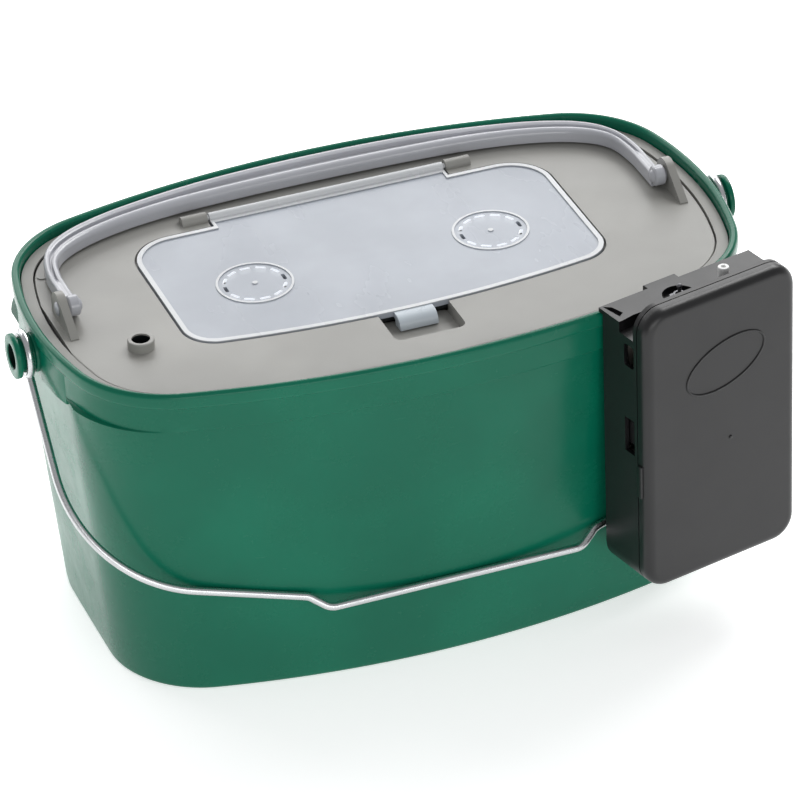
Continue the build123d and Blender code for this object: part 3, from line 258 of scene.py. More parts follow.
@dataclass(frozen=True)
class ClearPlastic:
    """Frosty clear plastic: see-through in its thin panel, fuller in its beads and slot walls, with a painted
    glow on the walls of its vent slots.
    """

    name: str
    colour: Colour
    bead: Colour
    bead_z: float
    alpha: float = 0.8
    roughness: float = 0.25
    vent_x: float = 0.061
    vent_y: float = 0.0024
    bridge: float = 0.0028
    slot_reach: Pair = (0.0128, 0.0170)
    slot_z: Pair = (0.16775, 0.16992)
    # Colour of the painted glow on the slot walls, which are no lamp
    slot_painted_glow: Colour = (0.62, 0.63, 0.64)

    def make(self) -> Material:
        """Build the material.

        Returns:
            The material.
        """
        sh = Shader(self.name)
        cloud = sh.noise(14.0, detail=4.0, rough=0.55)
        tint = tuple(min(1.0, c * 1.05) for c in self.colour)
        panel = sh.blend(cloud.ramp(0.4, 0.65), self.colour, tint)
        raised = sh.along(2).ramp(self.bead_z, self.bead_z + 0.0005)
        walls = self.slot_walls(sh)
        flow = sh.noise(24.0, detail=4.0, rough=0.6, at=sh.stretched((1.0, 0.35, 1.0)))
        rough = flow.ramp(0.35, 0.7) * 0.12 + (self.roughness - 0.05)
        fuller = (raised + walls) * (1 - self.alpha - 0.03)
        alpha = cloud.ramp(0.3, 0.7) * 0.06 + (self.alpha - 0.03) + fuller
        normal = sh.bump(sh.noise(30.0), 0.00004)
        sh.feed(sh.surface, {"Base Color": sh.blend(raised, panel, self.bead), "Roughness": rough})
        sh.feed(sh.surface, {"Alpha": alpha, "Normal": normal, "Emission Strength": 1.0})
        # Painted light: the slot walls glow in a pale colour
        sh.feed(sh.surface, {"Emission Color": sh.blend(walls, (0.0, 0.0, 0.0), self.slot_painted_glow)})
        return sh.material

    def slot_walls(self, sh: Shader) -> Value:
        """Mask of the side walls of both rosettes' slots.

        Args:
            sh: The material's shader.

        Returns:
            One on the walls, else zero.
        """
        across = sh.maths("ABSOLUTE", sh.along(0)) - self.vent_x
        ahead = sh.along(1) - self.vent_y
        reach = across * across + ahead * ahead
        near, far = self.slot_reach
        beside = (ahead * ahead).above(self.bridge**2)
        ring = beside * reach.above(near**2) * (1 - reach.above(far**2))
        low, high = self.slot_z
        return ring * sh.inside((None, None, low), (None, None, high))


@dataclass(frozen=True)
class Metal:
    """Bare or plated metal with a fine spangle and dull patches."""

    name: str
    colour: Colour
    roughness: float = 0.3
    spangle: float = 700.0
    tarnish: float = 0.15

    def make(self) -> Material:
        """Build the material.

        Returns:
            The material.
        """
        sh = Shader(self.name)
        spots = sh.noise(self.spangle, detail=3.0, rough=0.6)
        patches = sh.noise(70.0, detail=4.0, rough=0.6)
        dull = tuple(c * (1 - 0.6 * self.tarnish) for c in self.colour)
        colour = sh.blend(patches.ramp(0.4, 0.7) * self.tarnish * 4.0, self.colour, dull)
        stain = patches.ramp(0.35, 0.75) * (0.8 * self.tarnish)
        rough = spots * 0.14 + stain + (self.roughness - 0.07)
        sh.feed(sh.surface, {"Base Color": colour, "Roughness": rough})
        sh.feed(sh.surface, {"Normal": sh.bump(spots, 0.000006), "Metallic": 1.0})
        return sh.material


@dataclass(frozen=True)
class CellJacket:
    """Plain printed jacket of a round cell: a dark body, a pale band and bare metal ends."""

    name: str
    low: float
    high: float
    end: float = 0.0012
    band: float = 0.013
    body_colour: Colour = (0.02, 0.022, 0.026)
    band_colour: Colour = (0.42, 0.30, 0.12)
    end_colour: Colour = (0.62, 0.62, 0.63)

    def make(self) -> Material:
        """Build the material.

        Returns:
            The material.
        """
        sh = Shader(self.name)
        z = sh.along(2)
        below_end = 1 - z.above(self.high - self.end)
        band = z.above(self.high - self.band) * below_end
        jacket = z.above(self.low + self.end) * below_end
        colour = sh.blend(jacket, self.end_colour, sh.blend(band, self.body_colour, self.band_colour))
        rough = sh.noise(90.0, detail=3.0).ramp(0.3, 0.7) * 0.1 + 0.27
        sh.feed(sh.surface, {"Base Color": colour, "Roughness": rough, "Metallic": 1 - jacket * 0.85})
        return sh.material


@dataclass(frozen=True)
class StudioFloor:
    """Pale paper floor that glows more towards the back, as an overexposed backdrop does."""

    name: str
    colour: Colour = (0.93, 0.93, 0.93)
    front: float = 0.54
    rear: float = 1.6
    rise: Pair = (0.0, 0.9)

    def make(self) -> Material:
        """Build the material.

        Returns:
            The material.
        """
        sh = Shader(self.name)
        low = tuple(c * 0.985 for c in self.colour)
        base = sh.blend(sh.noise(3.0).ramp(0.3, 0.7), low, self.colour)
        glow = sh.blend(sh.along(1).ramp(*self.rise), (self.front,) * 3, (self.rear,) * 3)
        sh.feed(sh.surface, {"Base Color": base, "Roughness": 0.85})
        sh.feed(sh.surface, {"Emission Color": glow, "Emission Strength": 1.0})
        return sh.material


# Boxes, by their corners in metres, in which a plastic is painted as an unlit gap
SEAT_GAP = ((None, None, 0.1655), (-0.09, None, 0.16965))
LATCH_SLOT = ((-0.018, -0.0500, 0.1638), (0.018, -0.0466, 0.1674))
HOSE_BORE = ((-0.13485, -0.03625, 0.1672), (-0.12575, -0.02715, 0.1742))

GREEN = MouldedPlastic(
    "green_gloss", (0.0015, 0.134, 0.076), roughness=0.25, cloud=0.05,
    grain_scale=2200, grain_depth=0.000005, wave_depth=0.0004, gloss=0.24,
)
# Painted shade: a darker copy of the green, put inside each axle's bore where shade falls
BORE_SHADE = MouldedPlastic(
    "green_bore_shade", (0.0010, 0.012, 0.008), roughness=0.5, cloud=0.05,
    grain_scale=2200, grain_depth=0.000005, gloss=0.2,
)
LINER = MouldedPlastic(
    "liner_grey", (0.303, 0.299, 0.281), roughness=0.45, cloud=0.04,
    grain_scale=1500, scuffs=0.3, gloss=0.35, shade=(SEAT_GAP,),
)
LID = MouldedPlastic(
    "lid_grey", (0.292, 0.288, 0.269), roughness=0.38, cloud=0.04,
    grain_scale=1300, wave_depth=0.0001, scuffs=0.35, shade=(LATCH_SLOT, HOSE_BORE),
)
HANDLE = MouldedPlastic(
    "handle_grey", (0.440, 0.448, 0.482), roughness=0.20, cloud=0.03,
    grain_scale=1500, grain_depth=0.000006, scuffs=0.05, gloss=0.75,
)
BLACK = MouldedPlastic(
    "pump_black", (0.0060, 0.0060, 0.0066), roughness=0.36, cloud=0.10,
    grain_scale=1600, grain_depth=0.000012, scuffs=0.5, gloss=0.52,
)
WHITE = MouldedPlastic("nipple_white", (0.88, 0.88, 0.87), roughness=0.35, cloud=0.02, grain_depth=0.000008)
WORKS = MouldedPlastic("works_nylon", (0.62, 0.60, 0.54), roughness=0.45, cloud=0.03)
RUBBER = MouldedPlastic(
    "soft_rubber", (0.025, 0.025, 0.026), roughness=0.7, cloud=0.1, grain_scale=900, grain_depth=0.00003,
)
TONGUE = MouldedPlastic(
    "pale_tongue", (0.55, 0.61, 0.66), roughness=0.30, cloud=0.03,
    grain_scale=1500, grain_depth=0.000006, scuffs=0.1, gloss=0.6,
)
HATCH = ClearPlastic(
    "hatch_clear", (0.405, 0.436, 0.488),
    bead=(0.62, 0.635, 0.65), bead_z=0.17005, alpha=0.87, roughness=0.26,
)
ZINC = Metal("zinc_wire", (0.62, 0.63, 0.64), roughness=0.25, spangle=900.0, tarnish=0.12)
STEEL = Metal("bright_steel", (0.66, 0.65, 0.63), roughness=0.26, spangle=1400.0, tarnish=0.10)
DARK_STEEL = Metal("blackened_steel", (0.16, 0.16, 0.17), roughness=0.36, spangle=1400.0)
BRASS = Metal("contact_brass", (0.78, 0.62, 0.36), roughness=0.30, spangle=1200.0, tarnish=0.12)
CELL = CellJacket("cell_jacket", low=0.045, high=0.091)


# ---------- outlines


def point(x: float, y: float, z: float) -> Vector:
    """A point given in millimetres, in metres."""
    return Vector((x * MM, y * MM, z * MM))


def inset(size: Outline, distance: float) -> Outline:
    """The bowed outline set in, in parallel, by a distance."""
    return tuple(value - distance for value in size)


def between(low: Outline, high: Outline, share: float) -> Outline:
    """A bowed outline between two others."""
    return tuple(p + (q - p) * share for p, q in zip(low, high))


def arc(centre: Pair, radius: float, start: float, end: float, steps: int) -> list[Pair]:
    """Points on an arc, its last one left out."""
    turns = [start + (end - start) * i / steps for i in range(steps)]
    return [(centre[0] + radius * cos(t), centre[1] + radius * sin(t)) for t in turns]


def quarter(steps: int) -> list[Pair]:
    """Shares (1 - sine, 1 - cosine) of a radius at even steps round a quarter turn."""
    turns = [pi / 2 * i / steps for i in range(steps + 1)]
    return [(1 - sin(t), 1 - cos(t)) for t in turns]


def bowed(size: Outline) -> list[Pair]:
    """Points round a bowed outline, from its right end and anticlockwise, in millimetres.

    Args:
        size: Half length, half width, and the radii of the long side, the end and the corner.

    Returns:
        The points. The corner arc touches both the long arc and the end arc.
    """
    a, b, r_long, r_end, rc = size
    cy, cx = b - r_long, a - r_end
    ra, rb = r_long - rc, r_end - rc
    span = hypot(cx, cy)
    along = (ra**2 - rb**2 + span**2) / (2 * span)
    off = sqrt(ra**2 - along**2)
    ux, uy = cx / span, -cy / span
    choices = [(along * ux + k * off * uy, cy + along * uy - k * off * ux) for k in (1, -1)]
    px, py = max(choices, key=lambda p: p[0] + p[1])
    end_angle = atan2(py, px - cx)
    long_angle = atan2(py - cy, px)
    right = arc((cx, 0.0), r_end, 0.0, end_angle, 12)
    right += arc((px, py), rc, end_angle, long_angle, 22)
    right += arc((0.0, cy), r_long, long_angle, pi / 2, 24)
    left = [(-x, y) for x, y in reversed(right[1:])]
    top = right + [(0.0, b)] + left + [(-a, 0.0)]
    return top + [(-x, -y) for x, y in top[1:-1]]


def level(size: Outline, z: float, reach: float = inf) -> Ring:
    """A bowed outline at a height, cut off beyond a half length, in metres."""
    return [point(max(-reach, min(reach, x)), y, z) for x, y in bowed(size)]


# ---------- modelling


def only(obj: Piece) -> None:
    """Make this the one selected and active object.

    Args:
        obj: The object.
    """
    bpy.ops.object.select_all(action="DESELECT")
    obj.select_set(True)
    bpy.context.view_layer.objects.active = obj


def edit(obj: Piece) -> None:
    """Open this one object for editing, with all of it selected.

    Args:
        obj: The object.
    """
    only(obj)
    bpy.ops.object.mode_set(mode="EDIT")
    bpy.ops.mesh.select_all(action="SELECT")


def smooth(obj: Piece, degrees: float) -> None:
    """Smooth shading except across sharp edges."""
    only(obj)
    bpy.ops.object.shade_smooth_by_angle(angle=radians(degrees))


def skin(name: str, rings: list[Ring], capped: bool = True) -> Piece:
    """Skin a grid primitive over a stack of rings and cap its ends.

    Args:
        name: Name of the piece.
        rings: Rings with the same number of points, in metres.
        capped: Whether the first and the last ring are filled.

    Returns:
        The closed piece.
    """
    round_count, last = len(rings[0]), len(rings) - 1
    bpy.ops.object.select_all(action="DESELECT")
    bpy.ops.mesh.primitive_grid_add(x_subdivisions=round_count, y_subdivisions=last, size=1.0)
    obj = bpy.context.object
    obj.name = obj.data.name = name
    for vertex in obj.data.vertices:
        along = round((vertex.co.x + 0.5) * round_count) % round_count
        up = round((vertex.co.y + 0.5) * last)
        vertex.co = rings[up][along]
    edit(obj)
    bpy.ops.mesh.remove_doubles(threshold=SAME_POINT)
    if capped:
        bpy.ops.mesh.select_all(action="DESELECT")
        bpy.ops.mesh.select_mode(type="EDGE")
        bpy.ops.mesh.select_non_manifold(extend=False)
        bpy.ops.mesh.fill_holes(sides=0)
    bpy.ops.mesh.select_all(action="SELECT")
    bpy.ops.mesh.normals_make_consistent(inside=False)
    bpy.ops.object.mode_set(mode="OBJECT")
    smooth(obj, SKIN_CREASE)
    return obj


def eased(name: str, node: str, width: float) -> Piece:
    """A copy of a CAD node with its points merged and its edges rounded.

    Args:
        name: Name of the piece.
        node: Name of the CAD node.
        width: Width of the rounding in millimetres.

    Returns:
        The copy.
    """
    obj = bpy.data.objects.new(name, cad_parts[node].data.copy())
    bpy.context.scene.collection.objects.link(obj)
    obj.data.name = name
    only(obj)
    if obj.data.has_custom_normals:
        bpy.ops.mesh.customdata_custom_splitnormals_clear()
    edit(obj)
    bpy.ops.mesh.remove_doubles(threshold=2 * SAME_POINT)
    bpy.ops.mesh.dissolve_limited(angle_limit=radians(1.0))
    bpy.ops.object.mode_set(mode="OBJECT")
    mod = obj.modifiers.new("round", "BEVEL")
    mod.width, mod.segments, mod.limit_method = width * MM, 2, "ANGLE"
    mod.angle_limit, mod.use_clamp_overlap = radians(BEVEL_FROM), True
    bpy.ops.object.modifier_apply(modifier=mod.name)
    smooth(obj, COPY_CREASE)
    settle(obj)
    return obj


def settle(obj: Piece) -> None:
    """Let large flat faces keep their own normals, so that only the rounded edges shade round.

    Args:
        obj: The piece.
    """
    only(obj)
    mod = obj.modifiers.new("flats", "WEIGHTED_NORMAL")
    mod.mode, mod.weight, mod.keep_sharp = "FACE_AREA", 80, True
    bpy.ops.object.modifier_apply(modifier=mod.name)


def dress(obj: Piece, material: Material) -> None:
    """Give an object this one material."""
    obj.data.materials.clear()
    obj.data.materials.append(material)


def seat(obj: Piece, body: str, slot: str, material: Material, *nodes: str) -> None:
    """Dress a finished piece, ride it on its body, hide the nodes that it replaces and log where it rides.

    Args:
        obj: The piece.
        body: Name of the body that it moves with.
        slot: The record's material slot. It is not used.
        material: Its finish.
        nodes: CAD nodes that it replaces.
    """
    dress(obj, material)
    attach(obj, body)
    if nodes:
        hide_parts(*nodes)
    LOG.info("piece %s rides on %s", obj.name, body)


def seat_copy(name: str, node: str, width: float, body: str, slot: str, material: Material) -> None:
    """Seat an eased copy of a CAD node in that node's place, as eased and seat say."""
    seat(eased(name, node, width), body, slot, material, node)


def sweep(name: str, points: Ring, radius: float, sides: int, closed: bool = False) -> Piece:
    """A round tube along points, with a steady frame and closed ends.

    Args:
        name: Name of the piece.
        points: Centre line in metres.
        radius: Tube radius in metres.
        sides: Points round the tube.
        closed: Whether the tube is a ring.

    Returns:
        The tube.
    """
    count = len(points)
    tangents = []
    for i in range(count):
        before = points[i - 1] if i or closed else points[0]
        after = points[(i + 1) % count] if i < count - 1 or closed else points[-1]
        tangents.append((after - before).normalized())
    turns = [TAU * k / sides for k in range(sides)]
    side = tangents[0].orthogonal().normalized()
    rings = []
    for middle, tangent in zip(points, tangents):
        side = (side - tangent * side.dot(tangent)).normalized()
        other = tangent.cross(side)
        rings.append([middle + (side * cos(t) + other * sin(t)) * radius for t in turns])
    if not closed:
        return skin(name, rings)
    return skin(name, rings + [rings[0]], capped=False)


def turned(name: str, profile: Profile, side: Side, axis: Pair, sides: int) -> Piece:
    """A piece turned about an axis along X.

    Args:
        name: Name of the piece.
        profile: Distance from the middle plane and radius, in millimetres, along the profile.
        side: End of the bucket at which it stands.
        axis: Y and Z of the axis in millimetres.
        sides: Points round the axis.

    Returns:
        The closed piece.
    """
    y, z = axis
    turns = [TAU * i / sides for i in range(sides)]
    rings = [
        [point(side.value * x, y + r * cos(t), z + r * sin(t)) for t in turns]
        for x, r in profile
    ]
    return skin(name, rings)


def eased_run(low: float, high: float, edge: Profile) -> list[Pair]:
    """Places from low to high, each with its trim; the edge gives both from an end inwards."""
    return [(low + d, trim) for d, trim in edge] + [(high - d, trim) for d, trim in reversed(edge)]


# ---------- sub-assemblies


@dataclass
class BucketShell:
    """Green outer bucket: tapering wall, band, rolled lip and axle stubs. Sizes are in millimetres."""

    rim: Outline = (175.0, 106.4, 506.0, 202.0, 56.0)
    foot: Outline = (156.25, 93.4, 485.0, 6000.0, 51.0)
    head: Outline = (170.4, 103.8, 504.0, 6000.0, 55.0)
    head_z: float = 167.0
    rim_top: float = 175.9
    band_z: float = 155.0
    band_step: float = 1.3
    lip_z: float = 168.0
    lip_width: float = 4.2
    lip_round: float = 1.9
    lip_side_z: float = 172.0
    wall: float = 2.6
    foot_round: float = 2.5
    floor: float = 3.0
    middle: float = 40.0
    # Inset from the foot, and height: a shallow groove under the floor
    underside: Profile = (
        (22.3, 0.0), (21.9, 0.3), (21.8, 1.0), (14.2, 1.0), (14.1, 0.3), (13.7, 0.0), (6.0, 0.0),
    )
    outside_z: tuple[float, ...] = (6, 14, 30, 50, 70, 90, 110, 130, 145, 152, 154.3)
    inside_z: tuple[float, ...] = (155.0, 154.8, 140, 110, 80, 50, 25, 8)
    # Height, and how far past the head's half length the band reaches
    band: Profile = ((155.7, 0.0), (160.0, 0.0), (165.0, 0.0), (167.6, 1.4))
    # Height, and half length at which the mouth is cut off by the ledge at each end
    mouth: Profile = (
        (171.0, inf), (169.3, inf), (169.2, 170.6), (169.2, 167.9),
        (169.0, 167.8), (155.2, 167.8), (155.0, 167.8),
    )
    axle_z: float = 161.0
    bore_r: float = 6.28
    # Distance from the middle plane and radius: stub, neck, retaining disc and hollow end
    axle_profile: Profile = (
        (168.6, 9.6), (174.6, 10.0), (175.5, 9.8), (175.8, 9.2), (175.9, 8.7), (176.3, 8.5), (182.0, 8.5),
        (182.5, 8.7), (182.6, 9.2), (182.6, 10.5), (182.8, 11.0), (183.2, 11.2), (184.8, 11.2),
        (185.2, 11.0), (185.4, 10.6), (185.4, 7.0), (185.3, 6.6), (184.9, 6.3), (174.0, 6.2), (173.7, 5.9),
        (173.6, 5.0), (173.6, 0.6),
    )
    # X and half width of the axle's root, from the wall out, and its heights, each with a trim
    root: Profile = ((166.5, 36.4), (170.3, 36.2), (170.9, 34.8), (172.6, 28.0), (174.0, 14.0), (174.4, 11.0))
    root_z: Profile = ((151.0, 0.5), (151.1, 0.2), (151.5, 0.0), (160.0, 0.0), (168.3, 0.0))
    root_face: float = 168.0

    def at(self, z: float) -> Outline:
        """Outside of the wall at a height."""
        return between(self.foot, self.head, z / self.head_z)

    def outside(self) -> list[Ring]:
        """The outside, from the middle of the underside out and up to the lip.

        Returns:
            Its rings, in order.
        """
        out = [level(inset(self.foot, d), z) for d, z in ((self.middle, 0.0), *self.underside)]
        for s, c in quarter(5):
            out.append(level(inset(self.at(0), self.foot_round * s), self.foot_round * c))
        out += [level(self.at(z), z) for z in self.outside_z]
        band, wall, reach = inset(self.rim, self.band_step), self.at(self.band_z), self.head[0]
        out.append(level(between(wall, band, 0.35), self.band_z - 0.2, reach))
        out.append(level(between(wall, band, 0.8), self.band_z + 0.1, reach))
        out += [level(band, z, reach + extra) for z, extra in self.band]
        out.append(level(inset(self.rim, self.band_step - 0.05), self.lip_z))
        return out

    def lip(self) -> list[Ring]:
        """The rolled lip, from its outer foot over to the mouth.

        Returns:
            Its rings, in order.
        """
        out = []
        for s, c in quarter(4):
            out.append(level(inset(self.rim, self.band_step * s), self.lip_z + 0.1 + self.lip_round * c))
        out.append(level(self.rim, self.lip_side_z))
        bead, top = self.lip_width / 2, self.rim_top
        out += [level(inset(self.rim, bead * c), top - bead * s) for s, c in quarter(6)]
        out += [level(inset(self.rim, self.lip_width - bead * s), top - bead * c) for s, c in quarter(6)]
        return out

    def inside(self) -> list[Ring]:
        """The inside, from the mouth down and in over the floor.

        Returns:
            Its rings, in order.
        """
        out = [level(inset(self.rim, self.lip_width), z, cut) for z, cut in self.mouth]
        out += [level(inset(self.at(z), self.wall), z) for z in self.inside_z]
        base = self.at(self.floor)
        for s, c in quarter(4):
            out.append(level(inset(base, self.wall + self.floor * c), self.floor + self.floor * s))
        out.append(level(inset(base, self.middle), self.floor))
        return out

    def build(self, material: Material, bore: Material) -> None:
        """Model the shell and both axle ends.

        Args:
            material: Finish of the bucket.
            bore: Painted shade for the inside of each axle's bore, a darker copy of the green.
        """
        shell = skin("bucket_shell", self.outside() + self.lip() + self.inside())
        seat(shell, "bucket_body", "green_plastic", material, "bucket")
        for side in Side:
            name = f"axle_{side.name.lower()}"
            axle = turned(name, self.axle_profile, side, (0.0, self.axle_z), 64)
            seat(axle, "bucket_body", "green_plastic", material)
            axle.data.materials.append(bore)
            # Faces inside the bore radius get the painted shade
            for face in axle.data.polygons:
                deep = hypot(face.center.y, face.center.z - self.axle_z * MM) < self.bore_r * MM
                face.material_index = 1 if deep else 0
            seat(self.pad(side), "bucket_body", "green_plastic", material)

    def pad(self, side: Side) -> Piece:
        """Thickened root of the axle under the lip.

        Args:
            side: End of the bucket.

        Returns:
            The closed piece.
        """
        profile = [(x, -y) for x, y in self.root] + [(x, y) for x, y in reversed(self.root)]
        rings = []
        for z, trim in self.root_z:
            trimmed = [(x - trim if x > self.root_face else x, y) for x, y in profile]
            rings.append([point(side.value * x, y, z) for x, y in trimmed])
        return skin(f"axle_pad_{side.name.lower()}", rings)


@dataclass
class Bail:
    """Zinc wire bail in its hanging place in front of the bucket. Sizes are in millimetres and degrees."""

    axle_z: float = 161.0
    neck: float = 8.5
    clearance: float = 0.08
    wire: float = 2.0
    eye_x: float = 179.0
    fall: float = 49.6
    grip: float = 152.0
    grip_x: tuple[float, ...] = (45.0, 30.0, 15.0)
    arm: tuple[float, ...] = (24.0, 36.0, 48.0)
    bend: float = 72.0
    bend_y: float = 60.0
    turn: float = 74.0
    straights: tuple[float, ...] = (26.0, 27.0)
    elbows: Pair = (-24.0, 40.0)
    elbow_r: float = 9.0
    sides: int = 20

    @staticmethod
    def heading(angle: float) -> Vector:
        """Unit step in the bail's plane."""
        return Vector((cos(angle), sin(angle), 0))

    def path(self) -> Ring:
        """The right half of the wire in its own plane, eye first.

        Returns:
            Points along it.
        """
        pts = [Vector((self.eye_x, reach, 0)) for reach in self.arm]
        centre = Vector((self.eye_x - self.bend, self.bend_y, 0))
        pts += [centre + self.heading(radians(self.turn) * i / 24) * self.bend for i in range(25)]
        angle = radians(90 + self.turn)
        for length in self.straights:
            pts.append(pts[-1] + self.heading(angle) * length)
        first, second = (radians(v) for v in self.elbows)
        pts += self.elbow(pts[-1], angle, first)
        angle += first
        rise = self.grip - pts[-1].y - self.elbow_r * (1 - cos(second))
        pts.append(pts[-1] + self.heading(angle) * (rise / sin(angle)))
        pts += self.elbow(pts[-1], angle, second)
        return pts + [Vector((x, self.grip, 0)) for x in self.grip_x]

    def elbow(self, start: Vector, angle: float, turn: float) -> Ring:
        """A bend in the wire.

        Args:
            start: Where the wire is.
            angle: Which way it runs, in radians.
            turn: How far it turns.

        Returns:
            Points round the bend.
        """
        sign = 1 if turn > 0 else -1
        centre = start + self.heading(angle + pi / 2) * (self.elbow_r * sign)
        angles = [angle + turn * i / 6 - sign * pi / 2 for i in range(1, 7)]
        return [centre + self.heading(t) * self.elbow_r for t in angles]

    def place(self, p: Vector) -> Vector:
        """Turn a point from the bail's plane into the bucket's frame, in metres."""
        c, s = cos(radians(self.fall)), sin(radians(self.fall))
        return point(p.x, -p.y * c + p.z * s, self.axle_z - p.y * s - p.z * c)

    def build(self, material: Material) -> None:
        """Model the wire as one smooth tube with an eye at each end.

        Args:
            material: Finish of the wire.
        """
        eye_r = self.neck + self.clearance + self.wire
        right = [Vector((self.eye_x, eye_r, 0))] + self.path()
        whole = right + [Vector((-p.x, p.y, p.z)) for p in reversed(right)]
        tube = sweep("bail_wire", [self.place(p) for p in whole], self.wire * MM, self.sides)
        seat(tube, "bail", "zinc_wire", material, "wire_bail")
        turns = [TAU * i / 48 for i in range(48)]
        for side in Side:
            x = side.value * self.eye_x
            points = [self.place(Vector((x, eye_r * cos(t), eye_r * sin(t)))) for t in turns]
            eye = sweep(f"bail_eye_{side.name.lower()}", points, self.wire * MM, self.sides, closed=True)
            seat(eye, "bail", "zinc_wire", material)


@dataclass
class LidHandle:
    """Grey carrying bow folded on the lid: two ridges, a groove between, and a round eye at each foot."""

    # X and Y of points along the outer and the inner edge, from the middle to the foot
    outer: Profile = (
        (0, 97), (56, 94.5), (100, 87), (126, 78.5), (141, 69), (149.5, 57), (153.6, 42), (154.2, 22),
    )
    inner: Profile = (
        (0, 80.4), (58, 79.0), (92, 75.5), (118, 69), (136, 60), (144.6, 50), (147.8, 34), (148.2, 22),
    )
    base: float = 171.2
    top: float = 178.5
    groove: float = 3.0
    groove_from: float = 6.2
    ridge_r: float = 3.3
    full_width: float = 14.0
    pivot: Pair = (6.5, 177.5)
    # Distance from the middle plane and radius: peg, eye and outer boss
    eye_profile: Profile = (
        (146.9, 0.4), (147.0, 1.4), (147.3, 2.4), (147.8, 3.0), (148.4, 3.3), (148.5, 4.0), (148.7, 4.6),
        (149.3, 5.1), (153.3, 5.1), (153.9, 4.7), (154.2, 4.2), (154.2, 3.4), (154.3, 2.95), (159.1, 2.95),
        (159.2, 3.6), (159.5, 3.4), (159.9, 2.8), (160.2, 1.8), (160.3, 0.9), (160.3, 0.3),
    )

    @staticmethod
    def through(points: Profile, foot: float, steps: int) -> Ring:
        """Points on a smooth curve through the given ones, from the middle to the foot.

        Args:
            points: X and Y of the points, the middle first.
            foot: Y of the foot, straight ahead of the last point.
            steps: Points made for each stretch.

        Returns:
            The curve's points.
        """
        first, last = points[1], points[-1]
        line = [Vector((-first[0], first[1]))] + [Vector(p) for p in points] + [Vector((last[0], foot))]
        out = []
        for i in range(1, len(line) - 2):
            p0, p1, p2, p3 = line[i - 1:i + 3]
            m1 = (p2 - p0) * ((p2 - p1).length / (p2 - p0).length)
            m2 = (p3 - p1) * ((p2 - p1).length / (p3 - p1).length)
            for t in (k / steps for k in range(steps)):
                h = (2 * t**3 - 3 * t**2 + 1, t**3 - 2 * t**2 + t, 3 * t**2 - 2 * t**3, t**3 - t**2)
                out.append(p1 * h[0] + m1 * h[1] + p2 * h[2] + m2 * h[3])
        return out + [line[-2], (line[-2] + line[-1]) / 2, line[-1]]

    def section(self, p: Vector, q: Vector) -> Ring:
        """Profile across the bow.

        Args:
            p: X and Y of the outer edge.
            q: X and Y of the inner edge.

        Returns:
            The ring in metres.
        """
        width = (q - p).length
        share = min(1.0, width / self.full_width)
        depth = self.groove * max(0.0, min(1.0, (width - self.groove_from) / 4.0))
        radius = self.ridge_r * share
        half = [(0.7 * share, self.base), (0.2 * share, self.base + 0.2), (0.0, self.base + 0.8)]
        half.append((0.0, self.top - radius))
        for t in (radians(v) for v in (155, 130, 105, 80, 50)):
            half.append((radius * (1 + cos(t)), self.top - radius * (1 - sin(t))))
        flank = half[-1][1]
        floor = min(self.top - depth, flank)
        half.append((5.7 * share, (flank + floor) / 2 - 0.12 * depth))
        half += [(6.1 * share, floor + 0.08 * depth), (6.5 * share, floor)]
        ring = []
        for across, z in half + [(width - a, z) for a, z in reversed(half)]:
            spot = p + (q - p) * (across / width)
            ring.append(point(spot.x, spot.y, z))
        return ring

    def build(self, material: Material) -> None:
        """Model the bow and both eyes.

        Args:
            material: Finish of the handle.
        """
        foot = self.pivot[0] + 1.0
        pairs = list(zip(self.through(self.outer, foot, 8), self.through(self.inner, foot, 8)))
        flip = Vector((-1, 1))
        whole = [(p * flip, q * flip) for p, q in reversed(pairs[1:])] + pairs
        bow = skin("handle_bow", [self.section(p, q) for p, q in whole])
        settle(bow)
        seat(bow, "handle", "handle_plastic", material, "lid_handle")
        for side in Side:
            eye = turned(f"handle_eye_{side.name.lower()}", self.eye_profile, side, self.pivot, 48)
            seat(eye, "handle", "handle_plastic", material)


@dataclass
class Hatch:
    """Clear hatch with its vent rosettes, hinge knuckle and curved latch tongue."""

    cut_y: float = -51.2
    half: float = 9.8
    edge: Profile = ((0.0, 0.4), (0.12, 0.12), (0.4, 0.0))
    middle: Pair = (-55.0, 166.0)
    profile: Profile = (
        (-50.6, 170.2), (-53.6, 170.2), (-55.4, 169.9), (-57.0, 169.2), (-58.2, 168.1), (-58.9, 166.8),
        (-59.2, 165.4), (-59.3, 164.3), (-58.9, 163.95), (-52.6, 163.95), (-52.2, 164.2), (-52.0, 166.8),
        (-51.7, 167.6), (-50.6, 167.9),
    )

    def tongue(self) -> Piece:
        """Curved tongue at the front, its ends trimmed towards the middle of its section.

        Returns:
            The closed piece.
        """
        mid_y, mid_z = self.middle
        rings = []
        for x, trim in eased_run(-self.half, self.half, self.edge):
            step = 0.7 * trim
            ring = []
            for y, z in self.profile:
                inward = (step if y < mid_y else -step, step if z < mid_z else -step)
                ring.append(point(x, y + inward[0], z + inward[1]))
            rings.append(ring)
        return skin("latch_tongue", rings)

    def build(self, material: Material, pale: Material) -> None:
        """Make the leaf from the CAD hatch, cut off its tongue and add the curved one.

        Args:
            material: Finish of the leaf.
            pale: Finish of the tongue, which stands over a pocket whose floor is painted in shade.
        """
        leaf = eased("hatch_leaf", "hatch", 0.25)
        edit(leaf)
        bpy.ops.mesh.bisect(
            plane_co=(0, self.cut_y * MM, 0), plane_no=(0, -1, 0),
            use_fill=True, clear_outer=True, clear_inner=False,
        )
        bpy.ops.object.mode_set(mode="OBJECT")
        seat(leaf, "hatch_leaf", "clear_plastic", material, "hatch")
        tongue = self.tongue()
        settle(tongue)
        seat(tongue, "hatch_leaf", "clear_plastic", pale)


